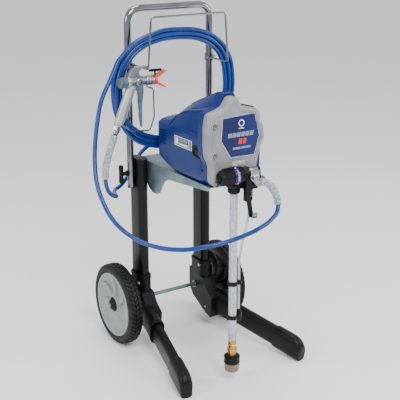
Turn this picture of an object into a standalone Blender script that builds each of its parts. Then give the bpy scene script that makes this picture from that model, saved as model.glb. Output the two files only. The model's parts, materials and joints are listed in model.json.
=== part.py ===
"""Airless paint sprayer on a two-wheel upright cart.

Metres, +Z up, floor at z = 0.  The pump and the two feet point to -Y and the wheels are at +Y.
The pieces are drawn about the cart's plane of symmetry, x = 0, with the handle at y = HANDLE_Y; at
the end everything moves by CENTRE_X, so that the whole stands centred on the origin.
"""
import bpy
import bmesh
from math import pi, sin, cos, radians
from mathutils import Vector, Matrix

for old in list(bpy.data.objects):
    bpy.data.objects.remove(old, do_unlink=True)

# ---------------------------------------------------------------- driving dimensions
GAP = 0.0003              # clearance left between touching pieces

CENTRE_X = 0.0112         # last move, which centres the whole on x = 0
HANDLE_Y = 0.1405         # plane of the handle and of the two legs
HANDLE_R = 0.0095
HANDLE_TOP = 0.950
HANDLE_FOOT = 0.459
HANDLE_BEND = 0.040

LEG_X = 0.103             # half the spacing of the black oval legs
LEG_W = 0.0295            # oval tube, across
LEG_D = 0.064             # oval tube, fore and aft
LEG_TOP = 0.538
LEG_FOOT = 0.150

HANDLE_LEG_GAP = 0.00075  # between a handle tube and the leg beside it
HANDLE_X = LEG_X + LEG_W / 2 + HANDLE_LEG_GAP + HANDLE_R  # half the spacing of the handle's tubes

AXLE_R = 0.0055
AXLE_Y = HANDLE_Y + 0.0076
WHEEL_R = 0.1165
WHEEL_FACE = 0.1948       # outer face of the wheel from the plane of symmetry
TYRE_W = 0.042
RIM_R = 0.0925
WHEEL_STEPS = 28

SOCKET_W = 0.0385         # moulded corner, across
SOCKET_TOP = 0.200
FOOT_ROOT = Vector((0.105, HANDLE_Y - 0.030, 0.087))
FOOT_TIP = Vector((0.185, HANDLE_Y - 0.372, 0.0325))
FOOT_CAP = 0.085          # length of the rubber end

KNOB_Z = 0.4985           # clamp knobs of the handle
RACK_Y = HANDLE_Y - 0.100 # front plane of the hose rack
RACK_R = 0.0027
RACK_TOP = 0.9275
RACK_LOW = 0.7960
RACK_X_TOP = 0.1135
RACK_X_LOW = 0.1235
RACK_X_ROOT = 0.1190

SHELF_Z = 0.532
SHELF_FRONT = HANDLE_Y - 0.328
SHELF_BACK = HANDLE_Y + 0.028
SHELF_T = 0.0025
SHELF_X = LEG_X - LEG_W / 2 - GAP

SHROUD_X = 0.088
SHROUD_BACK = HANDLE_Y - 0.084
SHROUD_FRONT = HANDLE_Y - 0.320
SHROUD_WALL = 0.003
COVER_FRONT = HANDLE_Y - 0.345
AXIS_Z = 0.635            # motor shaft
MOTOR_Y = HANDLE_Y - 0.165

PUMP_X = -0.007           # piston
PUMP_Y = HANDLE_Y - 0.374
PUMP_Z = 0.567            # axis of the pressure knob
ARM_CLEAR_LOW = 0.5440    # window that the piston's arm moves in
ARM_CLEAR_TOP = 0.5680
SUCTION_X = -0.0370
SUCTION_Y = HANDLE_Y - 0.363
SUCTION_D = 0.0210
DRAIN_D = 0.0065
TUBE_SPACE = 0.0078       # from the suction tube's wall to the drain tube's middle

HOSE_D = 0.0115
COIL_Y = HANDLE_Y - 0.050
COIL_X = -0.018
COIL_Z = 0.7318
COIL_A = 0.1750           # half width to the bundle's centre line
COIL_B = 0.1440           # half height to the bundle's centre line
COIL_SQUARE = 2.4         # 2 is an ellipse; more gives the coil fuller shoulders
BUNDLE = 0.0172           # half thickness of the bundle

GUN_Y = HANDLE_Y - 0.088  # middle plane of the spray gun
BARREL_Z = 0.7670

# ---------------------------------------------------------------- materials
MATERIALS = {
    "chrome": ((0.72, 0.73, 0.75), 0.12, 1.0),
    "zinc_steel": ((0.42, 0.50, 0.53), 0.35, 0.9),
    "black_paint": ((0.012, 0.012, 0.014), 0.35, 0.0),
    "black_plastic": ((0.015, 0.015, 0.017), 0.45, 0.0),
    "tyre_rubber": ((0.028, 0.028, 0.031), 0.75, 0.0),
    "grey_hub": ((0.50, 0.53, 0.53), 0.50, 0.0),
    "blue_plastic": ((0.011, 0.072, 0.285), 0.35, 0.0),
    "grey_cover": ((0.42, 0.43, 0.44), 0.42, 0.1),
    "label_blue": ((0.012, 0.045, 0.170), 0.40, 0.0),
    "aluminium": ((0.60, 0.61, 0.62), 0.30, 1.0),
    "steel": ((0.55, 0.56, 0.58), 0.28, 1.0),
    "copper": ((0.60, 0.26, 0.12), 0.35, 1.0),
    "brass": ((0.70, 0.48, 0.16), 0.28, 1.0),
    "clear_tube": ((0.80, 0.82, 0.82), 0.20, 0.0),
    "strainer_tan": ((0.50, 0.42, 0.30), 0.45, 0.0),
    "hose_blue": ((0.014, 0.110, 0.440), 0.35, 0.0),
    "orange_plastic": ((0.85, 0.15, 0.05), 0.35, 0.0),
    "gun_blue_grey": ((0.16, 0.22, 0.27), 0.45, 0.2),
}


def material(slot):
    found = bpy.data.materials.get(slot)
    if found:
        return found
    colour, roughness, metallic = MATERIALS[slot]
    made = bpy.data.materials.new(slot)
    made.use_nodes = True
    shader = made.node_tree.nodes["Principled BSDF"]
    shader.inputs["Base Color"].default_value = (*colour, 1.0)
    shader.inputs["Roughness"].default_value = roughness
    shader.inputs["Metallic"].default_value = metallic
    return made


# ---------------------------------------------------------------- building blocks
def add_object(name, data, slot, origin=None):
    """Link an object, and put its origin at a joint's axis when one is given."""
    ob = bpy.data.objects.new(name, data)
    bpy.context.scene.collection.objects.link(ob)
    if slot:
        data.materials.append(material(slot))
    if origin is not None:
        data.transform(Matrix.Translation(-Vector(origin)))
        ob.location = origin
    return ob


def loft(name, rings, slot, ring_closed=False, smooth=False, origin=None, triangles=False):
    """Skin a row of outlines that have the same number of points; flat ends, or a closed loop."""
    bm = bmesh.new()
    rows = [[bm.verts.new(p) for p in ring] for ring in rings]
    count = len(rows[0])
    last = len(rows) if ring_closed else len(rows) - 1
    for i in range(last):
        a, b = rows[i], rows[(i + 1) % len(rows)]
        for k in range(count):
            n = (k + 1) % count
            bm.faces.new((a[k], a[n], b[n], b[k]))
    if not ring_closed:
        bm.faces.new(list(reversed(rows[0])))
        bm.faces.new(rows[-1])
    bmesh.ops.recalc_face_normals(bm, faces=bm.faces[:])
    if triangles:
        bmesh.ops.triangulate(bm, faces=bm.faces[:])
    for face in bm.faces:
        face.smooth = smooth and len(face.verts) == 4
    mesh = bpy.data.meshes.new(name)
    bm.to_mesh(mesh)
    bm.free()
    return add_object(name, mesh, slot, origin)


AXES = {
    "X": (Vector((1, 0, 0)), Vector((0, 1, 0)), Vector((0, 0, 1))),
    "Y": (Vector((0, 1, 0)), Vector((0, 0, 1)), Vector((1, 0, 0))),
    "Z": (Vector((0, 0, 1)), Vector((1, 0, 0)), Vector((0, 1, 0))),
}


def turned(name, profile, centre, axis, slot, steps=24, hollow=False, origin=None, lobes=0, depth=0.0):
    """Turn a profile of (along, radius) pairs about an axis.  hollow closes the profile on itself."""
    along, u, v = AXES[axis] if isinstance(axis, str) else axis
    centre = Vector(centre)
    rings = []
    for a, r in profile:
        ring = []
        for k in range(steps):
            t = 2 * pi * k / steps
            rr = r * (1 - (depth if lobes and k % 2 else 0.0))
            ring.append(centre + along * a + (u * cos(t) + v * sin(t)) * rr)
        rings.append(ring)
    return loft(name, rings, slot, ring_closed=hollow, smooth=not lobes, origin=origin)


def prism(name, outline, axis, low, high, slot, origin=None):
    """Extrude an outline of pairs along an axis; the pairs are the other two axes in X, Y, Z order."""
    def place(p, h):
        if axis == "X":
            return Vector((h, p[0], p[1]))
        if axis == "Y":
            return Vector((p[0], h, p[1]))
        return Vector((p[0], p[1], h))
    return loft(name, [[place(p, h) for p in outline] for h in (low, high)], slot, origin=origin)


def block(name, low, high, slot, origin=None):
    outline = [(low[0], low[1]), (high[0], low[1]), (high[0], high[1]), (low[0], high[1])]
    return prism(name, outline, "Z", low[2], high[2], slot, origin=origin)


def oval(width, depth, steps=5):
    """Outline of a flat-sided oval tube: width on the first axis, depth on the second."""
    r = width / 2
    straight = depth / 2 - r
    points = []
    for side, start in ((1, 0.0), (-1, pi)):
        for k in range(steps + 1):
            t = start + pi * k / steps
            points.append((r * cos(t), side * straight + r * sin(t)))
    return points


def tube(name, points, radius, slot, resolution=2, closed=False):
    """A round wire or hose along a row of points, with flat ends."""
    curve = bpy.data.curves.new(name, "CURVE")
    curve.dimensions = "3D"
    curve.bevel_depth = radius
    curve.bevel_resolution = resolution
    curve.use_fill_caps = True
    line = curve.splines.new("POLY")
    line.points.add(len(points) - 1)
    for spot, p in zip(line.points, points):
        spot.co = (*p, 1.0)
    line.use_cyclic_u = closed
    line.use_smooth = True
    return add_object(name, curve, slot)


def rounded_path(corners, bend, steps=5):
    """Replace each inner corner of a path by an arc that starts `bend` before the corner."""
    corners = [Vector(c) for c in corners]
    path = [corners[0]]
    for a, b, c in zip(corners, corners[1:], corners[2:]):
        into, out = (a - b).normalized(), (c - b).normalized()
        start, end = b + into * bend, b + out * bend
        for k in range(steps + 1):
            t = k / steps
            path.append(start.lerp(b, t).lerp(b.lerp(end, t), t))
    path.append(corners[-1])
    return path


def smooth_route(points, count):
    """Points at equal steps along a Catmull-Rom curve through the route points."""
    pts = [Vector(p) for p in points]
    pts = [pts[0] * 2 - pts[1]] + pts + [pts[-1] * 2 - pts[-2]]
    dense = []
    for a, b, c, d in zip(pts, pts[1:], pts[2:], pts[3:]):
        for k in range(12):
            t = k / 12
            dense.append(0.5 * ((2 * b) + (c - a) * t + (2 * a - 5 * b + 4 * c - d) * t * t
                                + (3 * b - a - 3 * c + d) * t ** 3))
    dense.append(pts[-2])
    lengths = [0.0]
    for a, b in zip(dense, dense[1:]):
        lengths.append(lengths[-1] + (b - a).length)
    route, j = [], 0
    for k in range(count):
        want = lengths[-1] * k / (count - 1)
        while j < len(lengths) - 2 and lengths[j + 1] < want:
            j += 1
        span = max(lengths[j + 1] - lengths[j], 1e-9)
        route.append(dense[j].lerp(dense[j + 1], (want - lengths[j]) / span))
    return route


def hide(ob):
    ob.hide_render = True
    ob.display_type = "WIRE"
    ob.name = "tool_" + ob.name
    return ob


def boolean(ob, other, operation):
    step = ob.modifiers.new(operation.title(), "BOOLEAN")
    step.operation = operation
    step.solver = "EXACT"
    step.object = hide(other)
    return ob


def cut(ob, *others):
    for other in others:
        boolean(ob, other, "DIFFERENCE")
    return ob


def join(ob, *others):
    for other in others:
        boolean(ob, other, "UNION")
    return ob


SIDES = (("left", -1), ("right", 1))

# ---------------------------------------------------------------- cart: handle and legs
tube("handle_tube", rounded_path([
    (-HANDLE_X, HANDLE_Y, HANDLE_FOOT), (-HANDLE_X, HANDLE_Y, HANDLE_TOP - HANDLE_R),
    (HANDLE_X, HANDLE_Y, HANDLE_TOP - HANDLE_R), (HANDLE_X, HANDLE_Y, HANDLE_FOOT)],
    HANDLE_BEND, 7), HANDLE_R, "chrome", resolution=4)


def along_foot(side):
    """Axes of a foot tube: along it, across it, and square to both."""
    tip = Vector((FOOT_TIP.x * side, FOOT_TIP.y, FOOT_TIP.z))
    root = Vector((FOOT_ROOT.x * side, FOOT_ROOT.y, FOOT_ROOT.z))
    forward = (tip - root).normalized()
    across = forward.cross(Vector((0, 0, 1))).normalized()
    return root, tip, forward, across, across.cross(forward).normalized()


def foot_prism(name, side, width, depth, stations, slot):
    """Oval prism along a foot; each station is (distance from the root, scale, drop)."""
    root, tip, forward, across, upright = along_foot(side)
    rings = []
    for distance, scale, drop in stations:
        centre = root + forward * distance - upright * drop
        rings.append([centre + across * (p[0] * (1 + (scale - 1) * 0.4)) + upright * (p[1] * scale)
                      for p in oval(width, depth)])
    return loft(name, rings, slot)


FOOT_LENGTH = (FOOT_TIP - FOOT_ROOT).length
for word, side in SIDES:
    x = side * LEG_X
    outline = [(x + p[0], HANDLE_Y + p[1]) for p in oval(LEG_W, LEG_D)]
    prism("leg_" + word, outline, "Z", LEG_FOOT, LEG_TOP, "black_paint")

    # moulded corner: a collar for the leg, a boot, and a collar for the foot
    collar = [(x + p[0], HANDLE_Y + p[1]) for p in oval(SOCKET_W, LEG_D + 0.009)]
    socket = prism("socket_" + word, collar, "Z", 0.096, SOCKET_TOP, "black_plastic")
    boot = [(HANDLE_Y + a, b) for a, b in (
        (0.0361, 0.165), (0.0361, 0.108), (0.018, 0.080), (-0.020, 0.061), (-0.052, 0.045),
        (-0.078, 0.039), (-0.084, 0.100), (-0.056, 0.122), (-0.038, 0.150))]
    join(socket, prism("boot_" + word, boot, "X", x - SOCKET_W / 2, x + SOCKET_W / 2, None),
         foot_prism("mouth_" + word, side, 0.0375, LEG_D + 0.008, ((0.030, 1, 0), (0.108, 1, 0)), None))
    pocket = [(x + p[0], HANDLE_Y + p[1]) for p in oval(LEG_W + 2 * GAP, LEG_D + 2 * GAP)]
    cut(socket,
        prism("leg_pocket_" + word, pocket, "Z", LEG_FOOT - GAP, SOCKET_TOP + 0.01, None),
        foot_prism("foot_pocket_" + word, side, LEG_W + 2 * GAP, LEG_D - 0.004 + 2 * GAP,
                   ((0.052, 1, 0), (0.130, 1, 0)), None),
        turned("axle_hole_" + word, ((-0.06, AXLE_R + GAP), (0.06, AXLE_R + GAP)),
               (x, AXLE_Y, WHEEL_R), "X", None, 16))

    foot_prism("foot_" + word, side, LEG_W, LEG_D - 0.004,
               ((0.052 + GAP, 1, 0), (FOOT_LENGTH - 0.016, 1, 0)), "black_paint")
    cap = foot_prism("foot_cap_" + word, side, LEG_W + 0.007, LEG_D + 0.003,
                     ((FOOT_LENGTH - FOOT_CAP, 1, 0), (FOOT_LENGTH - 0.030, 1, 0),
                      (FOOT_LENGTH - 0.012, 0.95, 0.0016), (FOOT_LENGTH + 0.001, 0.80, 0.0064),
                      (FOOT_LENGTH + 0.009, 0.58, 0.0130)), "tyre_rubber")
    for spot in cap.data.vertices:
        spot.co.z = max(spot.co.z, 0.0)
    cut(cap, foot_prism("cap_pocket_" + word, side, LEG_W + 2 * GAP, LEG_D - 0.004 + 2 * GAP,
                        ((FOOT_LENGTH - FOOT_CAP - 0.01, 1, 0), (FOOT_LENGTH - 0.016 + GAP, 1, 0)), None))

    # clamp knob: a stem out of the handle's side and an upright cross bar
    start = HANDLE_X + HANDLE_R + GAP
    centre = (side * start, HANDLE_Y, KNOB_Z)
    along = (Vector((side, 0, 0)), Vector((0, 1, 0)), Vector((0, 0, 1)))
    knob = turned("handle_knob_" + word, ((0, 0.0085), (0.003, 0.0085), (0.004, 0.0060),
                                          (0.0205, 0.0060)),
                  centre, along, "black_plastic", 14, origin=centre)
    bar = turned("knob_bar_" + word,
                 ((-0.0255, 0.0035), (-0.0230, 0.0062), (-0.008, 0.0066), (0.008, 0.0066),
                  (0.0230, 0.0062), (0.0255, 0.0035)),
                 (side * (start + 0.0200), HANDLE_Y, KNOB_Z), "Z", None, 12)
    join(knob, bar)

# ---------------------------------------------------------------- cart: axle and wheels
turned("axle", ((-WHEEL_FACE - 0.001, AXLE_R), (WHEEL_FACE + 0.001, AXLE_R)),
       (0, AXLE_Y, WHEEL_R), "X", "zinc_steel", 16)

HUB_REACH = WHEEL_FACE - LEG_X - SOCKET_W / 2 - 0.0006
for word, side in SIDES:
    inward = (Vector((-side, 0, 0)), Vector((0, 1, 0)), Vector((0, 0, 1)))
    centre = (side * WHEEL_FACE, AXLE_Y, WHEEL_R)
    bore = AXLE_R + GAP
    turned("wheel_hub_" + word, (
        (0.0035, RIM_R), (0.0015, RIM_R - 0.004), (0.0015, RIM_R - 0.009), (0.0075, RIM_R - 0.014),
        (0.0100, 0.030), (0.0045, 0.026), (0.0045, 0.0215), (0.0110, 0.0205), (0.0110, bore),
        (HUB_REACH, bore), (HUB_REACH, 0.013), (TYRE_W + 0.001, 0.016), (0.030, 0.024),
        (0.028, RIM_R - 0.014), (TYRE_W - 0.003, RIM_R - 0.008), (TYRE_W - 0.003, RIM_R)),
        centre, inward, "grey_hub", WHEEL_STEPS, hollow=True, origin=centre)
    seat = RIM_R + GAP
    turned("tyre_" + word, (
        (0.0030, seat), (0.0000, 0.0985), (0.0010, 0.1075), (0.0060, 0.1145), (0.0130, WHEEL_R),
        (0.0290, WHEEL_R), (0.0360, 0.1145), (0.0410, 0.1075), (0.0420, 0.0985), (0.0390, seat)),
        centre, inward, "tyre_rubber", WHEEL_STEPS, hollow=True, origin=centre)
    cap = turned("hub_cap_" + word, (
        (0.0110 - GAP, 0.0195), (0.0050, 0.0195), (0.0010, 0.0170), (-0.0045, 0.0120),
        (-0.0060, 0.0060)), centre, inward, "black_plastic", 18, origin=centre)
    cut(cap, turned("cap_bore_" + word, ((-0.0020, AXLE_R + GAP), (0.02, AXLE_R + GAP)),
                    centre, inward, None, 16))

# ---------------------------------------------------------------- cart: shelf and hose rack
lobe = [(HANDLE_Y + a, b) for a, b in (
    (-0.142, 0.5050), (-0.128, 0.5030), (-0.112, 0.4930), (-0.100, 0.4740), (-0.088, 0.4560),
    (-0.070, 0.4480), (-0.050, 0.4470), (-0.030, 0.4560), (-0.012, 0.4740), (0.010, 0.4860))]
side_view = ([(SHELF_BACK, SHELF_Z), (SHELF_FRONT, SHELF_Z), (SHELF_FRONT + 0.003, 0.5225),
              (SHELF_FRONT + 0.016, 0.5205)] + lobe + [(SHELF_BACK, 0.4890)])
shelf = prism("shelf_bracket", side_view, "X", -SHELF_X, SHELF_X, "zinc_steel")
cut(shelf, block("shelf_inside", (-SHELF_X + SHELF_T, SHELF_FRONT - 0.01, 0.40),
                 (SHELF_X - SHELF_T, SHELF_BACK + 0.01, SHELF_Z - SHELF_T), None))

RACK_ROOT = HANDLE_Y - HANDLE_R - 0.0072
tube("hose_rack", rounded_path([
    (-RACK_X_ROOT, RACK_ROOT, RACK_LOW), (-RACK_X_LOW, RACK_Y, RACK_LOW),
    (-RACK_X_TOP, RACK_Y, RACK_TOP), (RACK_X_TOP, RACK_Y, RACK_TOP),
    (RACK_X_LOW, RACK_Y, RACK_LOW), (RACK_X_ROOT, RACK_ROOT, RACK_LOW)], 0.010, 4),
    RACK_R, "chrome", resolution=2)
for word, side in SIDES:
    turned("rack_clamp_" + word, (
        (-0.0100, HANDLE_R + GAP), (-0.0100, HANDLE_R + 0.0030), (0.0100, HANDLE_R + 0.0030),
        (0.0100, HANDLE_R + GAP)), (side * HANDLE_X, HANDLE_Y, RACK_LOW), "Z", "chrome", 18,
        hollow=True)
    join(bpy.data.objects["rack_clamp_" + word],
         turned("clamp_boss_" + word, ((-0.0090, 0.0044), (-HANDLE_R - 0.0072 + GAP, 0.0044)),
                (side * (RACK_X_ROOT + 0.0006), HANDLE_Y, RACK_LOW), "Y", None, 12))

# ---------------------------------------------------------------- pump unit: shroud and cover
# Outlines in X and Z, listed from the lower left, up the left side, over the hump and down the right.
# The hump is left of the middle, and the shroud reaches further to the left than to the right.
def hood(bottom, deck, ridge, hump):
    """Shroud section: its underside, its shoulder deck, the ridge along that, and its hump."""
    return [(-0.0740, bottom), (-0.0855, bottom + 0.0150), (-0.0880, bottom + 0.0450), (-0.0880, 0.6130),
            (-0.0880, 0.6400), (-0.0860, 0.6530), (-0.0750, deck), (-0.0580, ridge), (-0.0420, hump),
            (-0.0090, hump), (0.0050, ridge), (0.0430, deck), (0.0600, 0.6640 + (deck - 0.6620) * 0.6),
            (0.0660, 0.6560), (0.0690, 0.6420), (0.0700, 0.6250), (0.0700, 0.6000), (0.0690, bottom + 0.0300),
            (0.0580, bottom)]


HOOD = [(HANDLE_Y - 0.084, hood(0.5555, 0.6620, 0.6650, 0.6670)),
        (HANDLE_Y - 0.120, hood(0.5430, 0.6640, 0.6690, 0.6750)),
        (HANDLE_Y - 0.160, hood(0.5330, 0.6830, 0.6870, 0.7040)),
        (HANDLE_Y - 0.205, hood(0.5330, 0.7020, 0.7060, 0.7240)),
        (HANDLE_Y - 0.289, hood(0.5330, 0.7190, 0.7250, 0.7580))]
RIM = [(-0.0760, 0.5330), (-0.0880, 0.5480), (-0.0880, 0.5900), (-0.1005, 0.6130), (-0.1020, 0.6400),
       (-0.1020, 0.6900), (-0.0960, 0.7180), (-0.0540, 0.7290), (-0.0370, 0.7560), (-0.0135, 0.7550),
       (0.0000, 0.7310), (0.0500, 0.7180), (0.0585, 0.7020), (0.0560, 0.6870), (0.0665, 0.6780),
       (0.0715, 0.6440), (0.0580, 0.6190), (0.0460, 0.5670), (0.0440, 0.5330)]
FLANGE = RIM[:8] + [(-0.0400, 0.7610), (-0.0100, 0.7600), (0.0020, 0.7330), (0.0500, 0.7200),
                    (0.0610, 0.7020), (0.0670, 0.6870), (0.0700, 0.6780), (0.0720, 0.6440),
                    (0.0720, 0.6190), (0.0710, 0.5630), (0.0600, 0.5330)]


def inset(outline, amount):
    """Move an outline inwards by an even amount."""
    result = []
    n = len(outline)
    for i in range(n):
        a, b, c = (Vector(outline[i - 1]), Vector(outline[i]), Vector(outline[(i + 1) % n]))
        d1, d2 = (b - a).normalized(), (c - b).normalized()
        n1, n2 = Vector((d1.y, -d1.x)), Vector((d2.y, -d2.x))
        mean = (n1 + n2).normalized()
        result.append(b + mean * (amount / max(mean.dot(n1), 0.4)))
    return [(p.x, p.y) for p in result]


def section(outline, y):
    return [Vector((p[0], y, p[1])) for p in outline]


outer = [section(line, y) for y, line in HOOD]
outer += [section(FLANGE, HANDLE_Y - 0.299), section(FLANGE, SHROUD_FRONT)]
inner = [section(inset(FLANGE, SHROUD_WALL), SHROUD_FRONT), section(inset(FLANGE, SHROUD_WALL), HANDLE_Y - 0.301)]
inner += [section(inset(line, SHROUD_WALL), y) for y, line in reversed(HOOD[1:])]
inner[2] = section(inset(HOOD[4][1], SHROUD_WALL), HANDLE_Y - 0.287)
inner += [section(inset(HOOD[0][1], SHROUD_WALL), SHROUD_BACK - SHROUD_WALL)]
shroud = loft("motor_shroud", outer + inner, "blue_plastic", triangles=True)
slots = []
for k in range(6):
    z = 0.5990 + 0.0068 * k
    slots.append(block("vent_%d" % k, (-0.100, HANDLE_Y - 0.121, z),
                       (-0.078, HANDLE_Y - 0.096, z + 0.0036), None))
cut(shroud, *slots)
cut(shroud, block("switch_window", (-0.100, HANDLE_Y - 0.2832, 0.6005),
                  (-0.070, HANDLE_Y - 0.2588, 0.6215), None),
    turned("cord_hole", ((-0.02, 0.0083), (0.02, 0.0083)), (0.045, SHROUD_BACK, 0.590), "Y", None, 14))

FACE = inset(RIM, 0.007)
cover = loft("front_cover", [section(RIM, SHROUD_FRONT - GAP), section(RIM, HANDLE_Y - 0.3365),
                             section(inset(RIM, 0.002), HANDLE_Y - 0.3415), section(FACE, COVER_FRONT)],
             "grey_cover")
LABEL = [(-0.060, 0.707), (0.036, 0.711), (0.052, 0.653), (0.037, 0.604), (-0.035, 0.605),
         (-0.064, 0.650)]
cut(cover,
    prism("label_recess", inset(LABEL, -GAP), "Y", COVER_FRONT - 0.01, COVER_FRONT + 0.0022, None),
    block("yoke_window", (PUMP_X - 0.0072, COVER_FRONT - 0.01, ARM_CLEAR_LOW),
          (PUMP_X + 0.0072, SHROUD_FRONT + 0.01, ARM_CLEAR_TOP), None))
SCREWS = [(-0.083, 0.6880), (-0.0815, 0.6150)]
for k, (x, z) in enumerate(SCREWS):
    centre = (x, COVER_FRONT, z)
    cut(cover, turned("screw_seat_%d" % k, ((-0.006, 0.0058), (0.006, 0.0058)), centre, "Y", None, 12))
prism("front_label", LABEL, "Y", COVER_FRONT + 0.0006, COVER_FRONT + 0.0022 - GAP, "label_blue")

# switch on the shroud's side: a bezel plate outside the window, and a rocker in it
bezel = prism("switch_bezel", [(HANDLE_Y - 0.2862, 0.5960), (HANDLE_Y - 0.2862, 0.6245),
                               (HANDLE_Y - 0.2560, 0.6262), (HANDLE_Y - 0.2560, 0.6010)], "X",
              -SHROUD_X - 0.0022, -SHROUD_X - GAP, "black_plastic")
cut(bezel, block("rocker_window", (-0.1, HANDLE_Y - 0.2812, 0.6020), (-0.07, HANDLE_Y - 0.2608, 0.6200),
                 None))
ROCKER = (-SHROUD_X + 0.0040, HANDLE_Y - 0.2710, 0.6110)
rocker_view = [(-0.0060, -0.0050), (0.0060, -0.0050), (0.0078, 0.0058), (0.0, 0.0038), (-0.0078, 0.0058)]
tilt = radians(8)
rocker_view = [(a * cos(tilt) - b * sin(tilt), a * sin(tilt) + b * cos(tilt)) for a, b in rocker_view]
loft("switch_rocker", [[Vector((ROCKER[0] - b, ROCKER[1] + w, ROCKER[2] + a)) for a, b in rocker_view]
                       for w in (-0.0085, 0.0085)], "black_plastic", origin=ROCKER)
turned("cord_gland", ((-0.0040, 0.0060), (-0.0040, 0.0080), (0.0 + GAP, 0.0080), (0.0 + GAP, 0.0105),
                      (0.0120, 0.0095), (0.0150, 0.0075), (0.0150, 0.0045), (-0.0040, 0.0045)),
       (0.045, SHROUD_BACK, 0.590), "Y", "black_plastic", 14, hollow=True)

# ---------------------------------------------------------------- pump unit: drive
SHAFT_R = 0.0050
turned("motor_stator", ((0.0, 0.0240), (0.0, 0.0335), (0.072, 0.0335), (0.072, 0.0240)),
       (0, MOTOR_Y - 0.036, AXIS_Z), "Y", "copper", 24, hollow=True)
shaft = turned("motor_rotor", (
    (-0.052, SHAFT_R), (-0.040, SHAFT_R), (-0.0399, 0.0215), (0.0399, 0.0215), (0.0400, SHAFT_R),
    (0.0470, SHAFT_R), (0.0471, 0.0160), (0.0520, 0.0160), (0.0560, 0.0255), (0.0585, 0.0255),
    (0.0600, 0.0100)), (0, MOTOR_Y, AXIS_Z), "Y", "steel", 16, origin=(0, MOTOR_Y, AXIS_Z))
HOUSING_BACK = MOTOR_Y - 0.0440
HOUSING_FRONT = HANDLE_Y - 0.272
CRANK_Y = HANDLE_Y - 0.286
turned("drive_housing", (
    (0.0, SHAFT_R + GAP), (0.0, 0.0480), (HOUSING_BACK - HOUSING_FRONT, 0.0400),
    (HOUSING_BACK - HOUSING_FRONT, SHAFT_R + GAP)),
    (0, HOUSING_BACK, AXIS_Z), (Vector((0, -1, 0)), AXES["Y"][2], AXES["Y"][1]), "aluminium", 22,
    hollow=True)
THROW = 0.0060            # half the piston's stroke
PIN_R = 0.0045
crank = turned("crank", ((HOUSING_FRONT - CRANK_Y + 0.030, SHAFT_R), (HOUSING_FRONT - CRANK_Y, SHAFT_R),
                         (HOUSING_FRONT - CRANK_Y - 0.0010, 0.0210), (0.0060, 0.0210)),
               (0, CRANK_Y, AXIS_Z), "Y", "steel", 22, origin=(0, CRANK_Y, AXIS_Z))
join(crank, turned("crank_pin", ((-0.0150, PIN_R), (0.0080, PIN_R)), (0, CRANK_Y, AXIS_Z + THROW),
                   "Y", None, 12))
# yoke: a frame round the pin's circle, a leg behind the cover, and an arm out to the piston
WINDOW = THROW + PIN_R + 0.0012
FRAME = WINDOW + 0.0068
ARM_LOW, ARM_TOP = 0.5460, 0.5535
yoke = block("piston_yoke", (-FRAME, CRANK_Y - 0.0135, AXIS_Z - FRAME),
             (FRAME, CRANK_Y - 0.0035, AXIS_Z + FRAME),
             "steel")
cut(yoke, block("pin_window", (-WINDOW, CRANK_Y - 0.03, AXIS_Z - WINDOW),
                (WINDOW, CRANK_Y + 0.03, AXIS_Z + WINDOW),
                None))
join(yoke, block("yoke_leg", (PUMP_X - 0.0060, CRANK_Y - 0.0130, ARM_LOW + 0.0010),
                 (PUMP_X + 0.0060, CRANK_Y - 0.0045, AXIS_Z - WINDOW - 0.0010), None),
     block("yoke_arm", (PUMP_X - 0.0055, PUMP_Y, ARM_LOW), (PUMP_X + 0.0055, CRANK_Y - 0.0050, ARM_TOP),
           None),
     turned("piston", ((-0.0060, 0.0050), (0.0090, 0.0050)), (PUMP_X, PUMP_Y, ARM_LOW), "Z", None, 14))

# ---------------------------------------------------------------- pump unit: fluid section
body = block("pump_body", (-0.0235, HANDLE_Y - 0.3960, 0.5330), (0.0125, COVER_FRONT - GAP, 0.5780),
             "black_paint")
cut(body, block("yoke_pocket", (PUMP_X - 0.0072, PUMP_Y - 0.0072, 0.5380),
                (PUMP_X + 0.0072, COVER_FRONT + 0.01, ARM_CLEAR_TOP), None))
join(body, block("inlet_bridge", (-0.0500, HANDLE_Y - 0.3780, 0.5330),
                 (-0.0230, COVER_FRONT - 0.002, 0.5440), None))
SUCTION_NUT = (SUCTION_X, SUCTION_Y, 0.5330 - GAP)
turned("suction_nut", ((0, 0.0150), (-0.0110, 0.0150), (-0.0125, 0.0118), (-0.0133, 0.0118)),
       SUCTION_NUT, "Z", "black_plastic", 20, lobes=1, depth=0.05)

KNOB = (-0.0515, HANDLE_Y - 0.3740, PUMP_Z)
turned("control_ring", ((0, 0.0100), (0, 0.0200), (0.0030, 0.0212), (0.0240, 0.0212), (0.0277, 0.0195),
                        (0.0277, 0.0100)), KNOB, "X", "blue_plastic", 22, hollow=True)
knob = turned("pressure_knob", ((-0.0003, 0.0195), (-0.0060, 0.0200), (-0.0300, 0.0195),
                                (-0.0355, 0.0180),
                                (-0.0365, 0.0150)), KNOB, "X", "black_plastic", 32, lobes=1, depth=0.045,
              origin=KNOB)
join(knob, turned("knob_spindle", ((-0.0100, 0.0092), (0.0240, 0.0092)), KNOB, "X", None, 14),
     block("knob_pointer", (KNOB[0] - 0.0290, KNOB[1] - 0.0022, PUMP_Z + 0.0170),
           (KNOB[0] - 0.0020, KNOB[1] + 0.0022, PUMP_Z + 0.0225), None))

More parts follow.
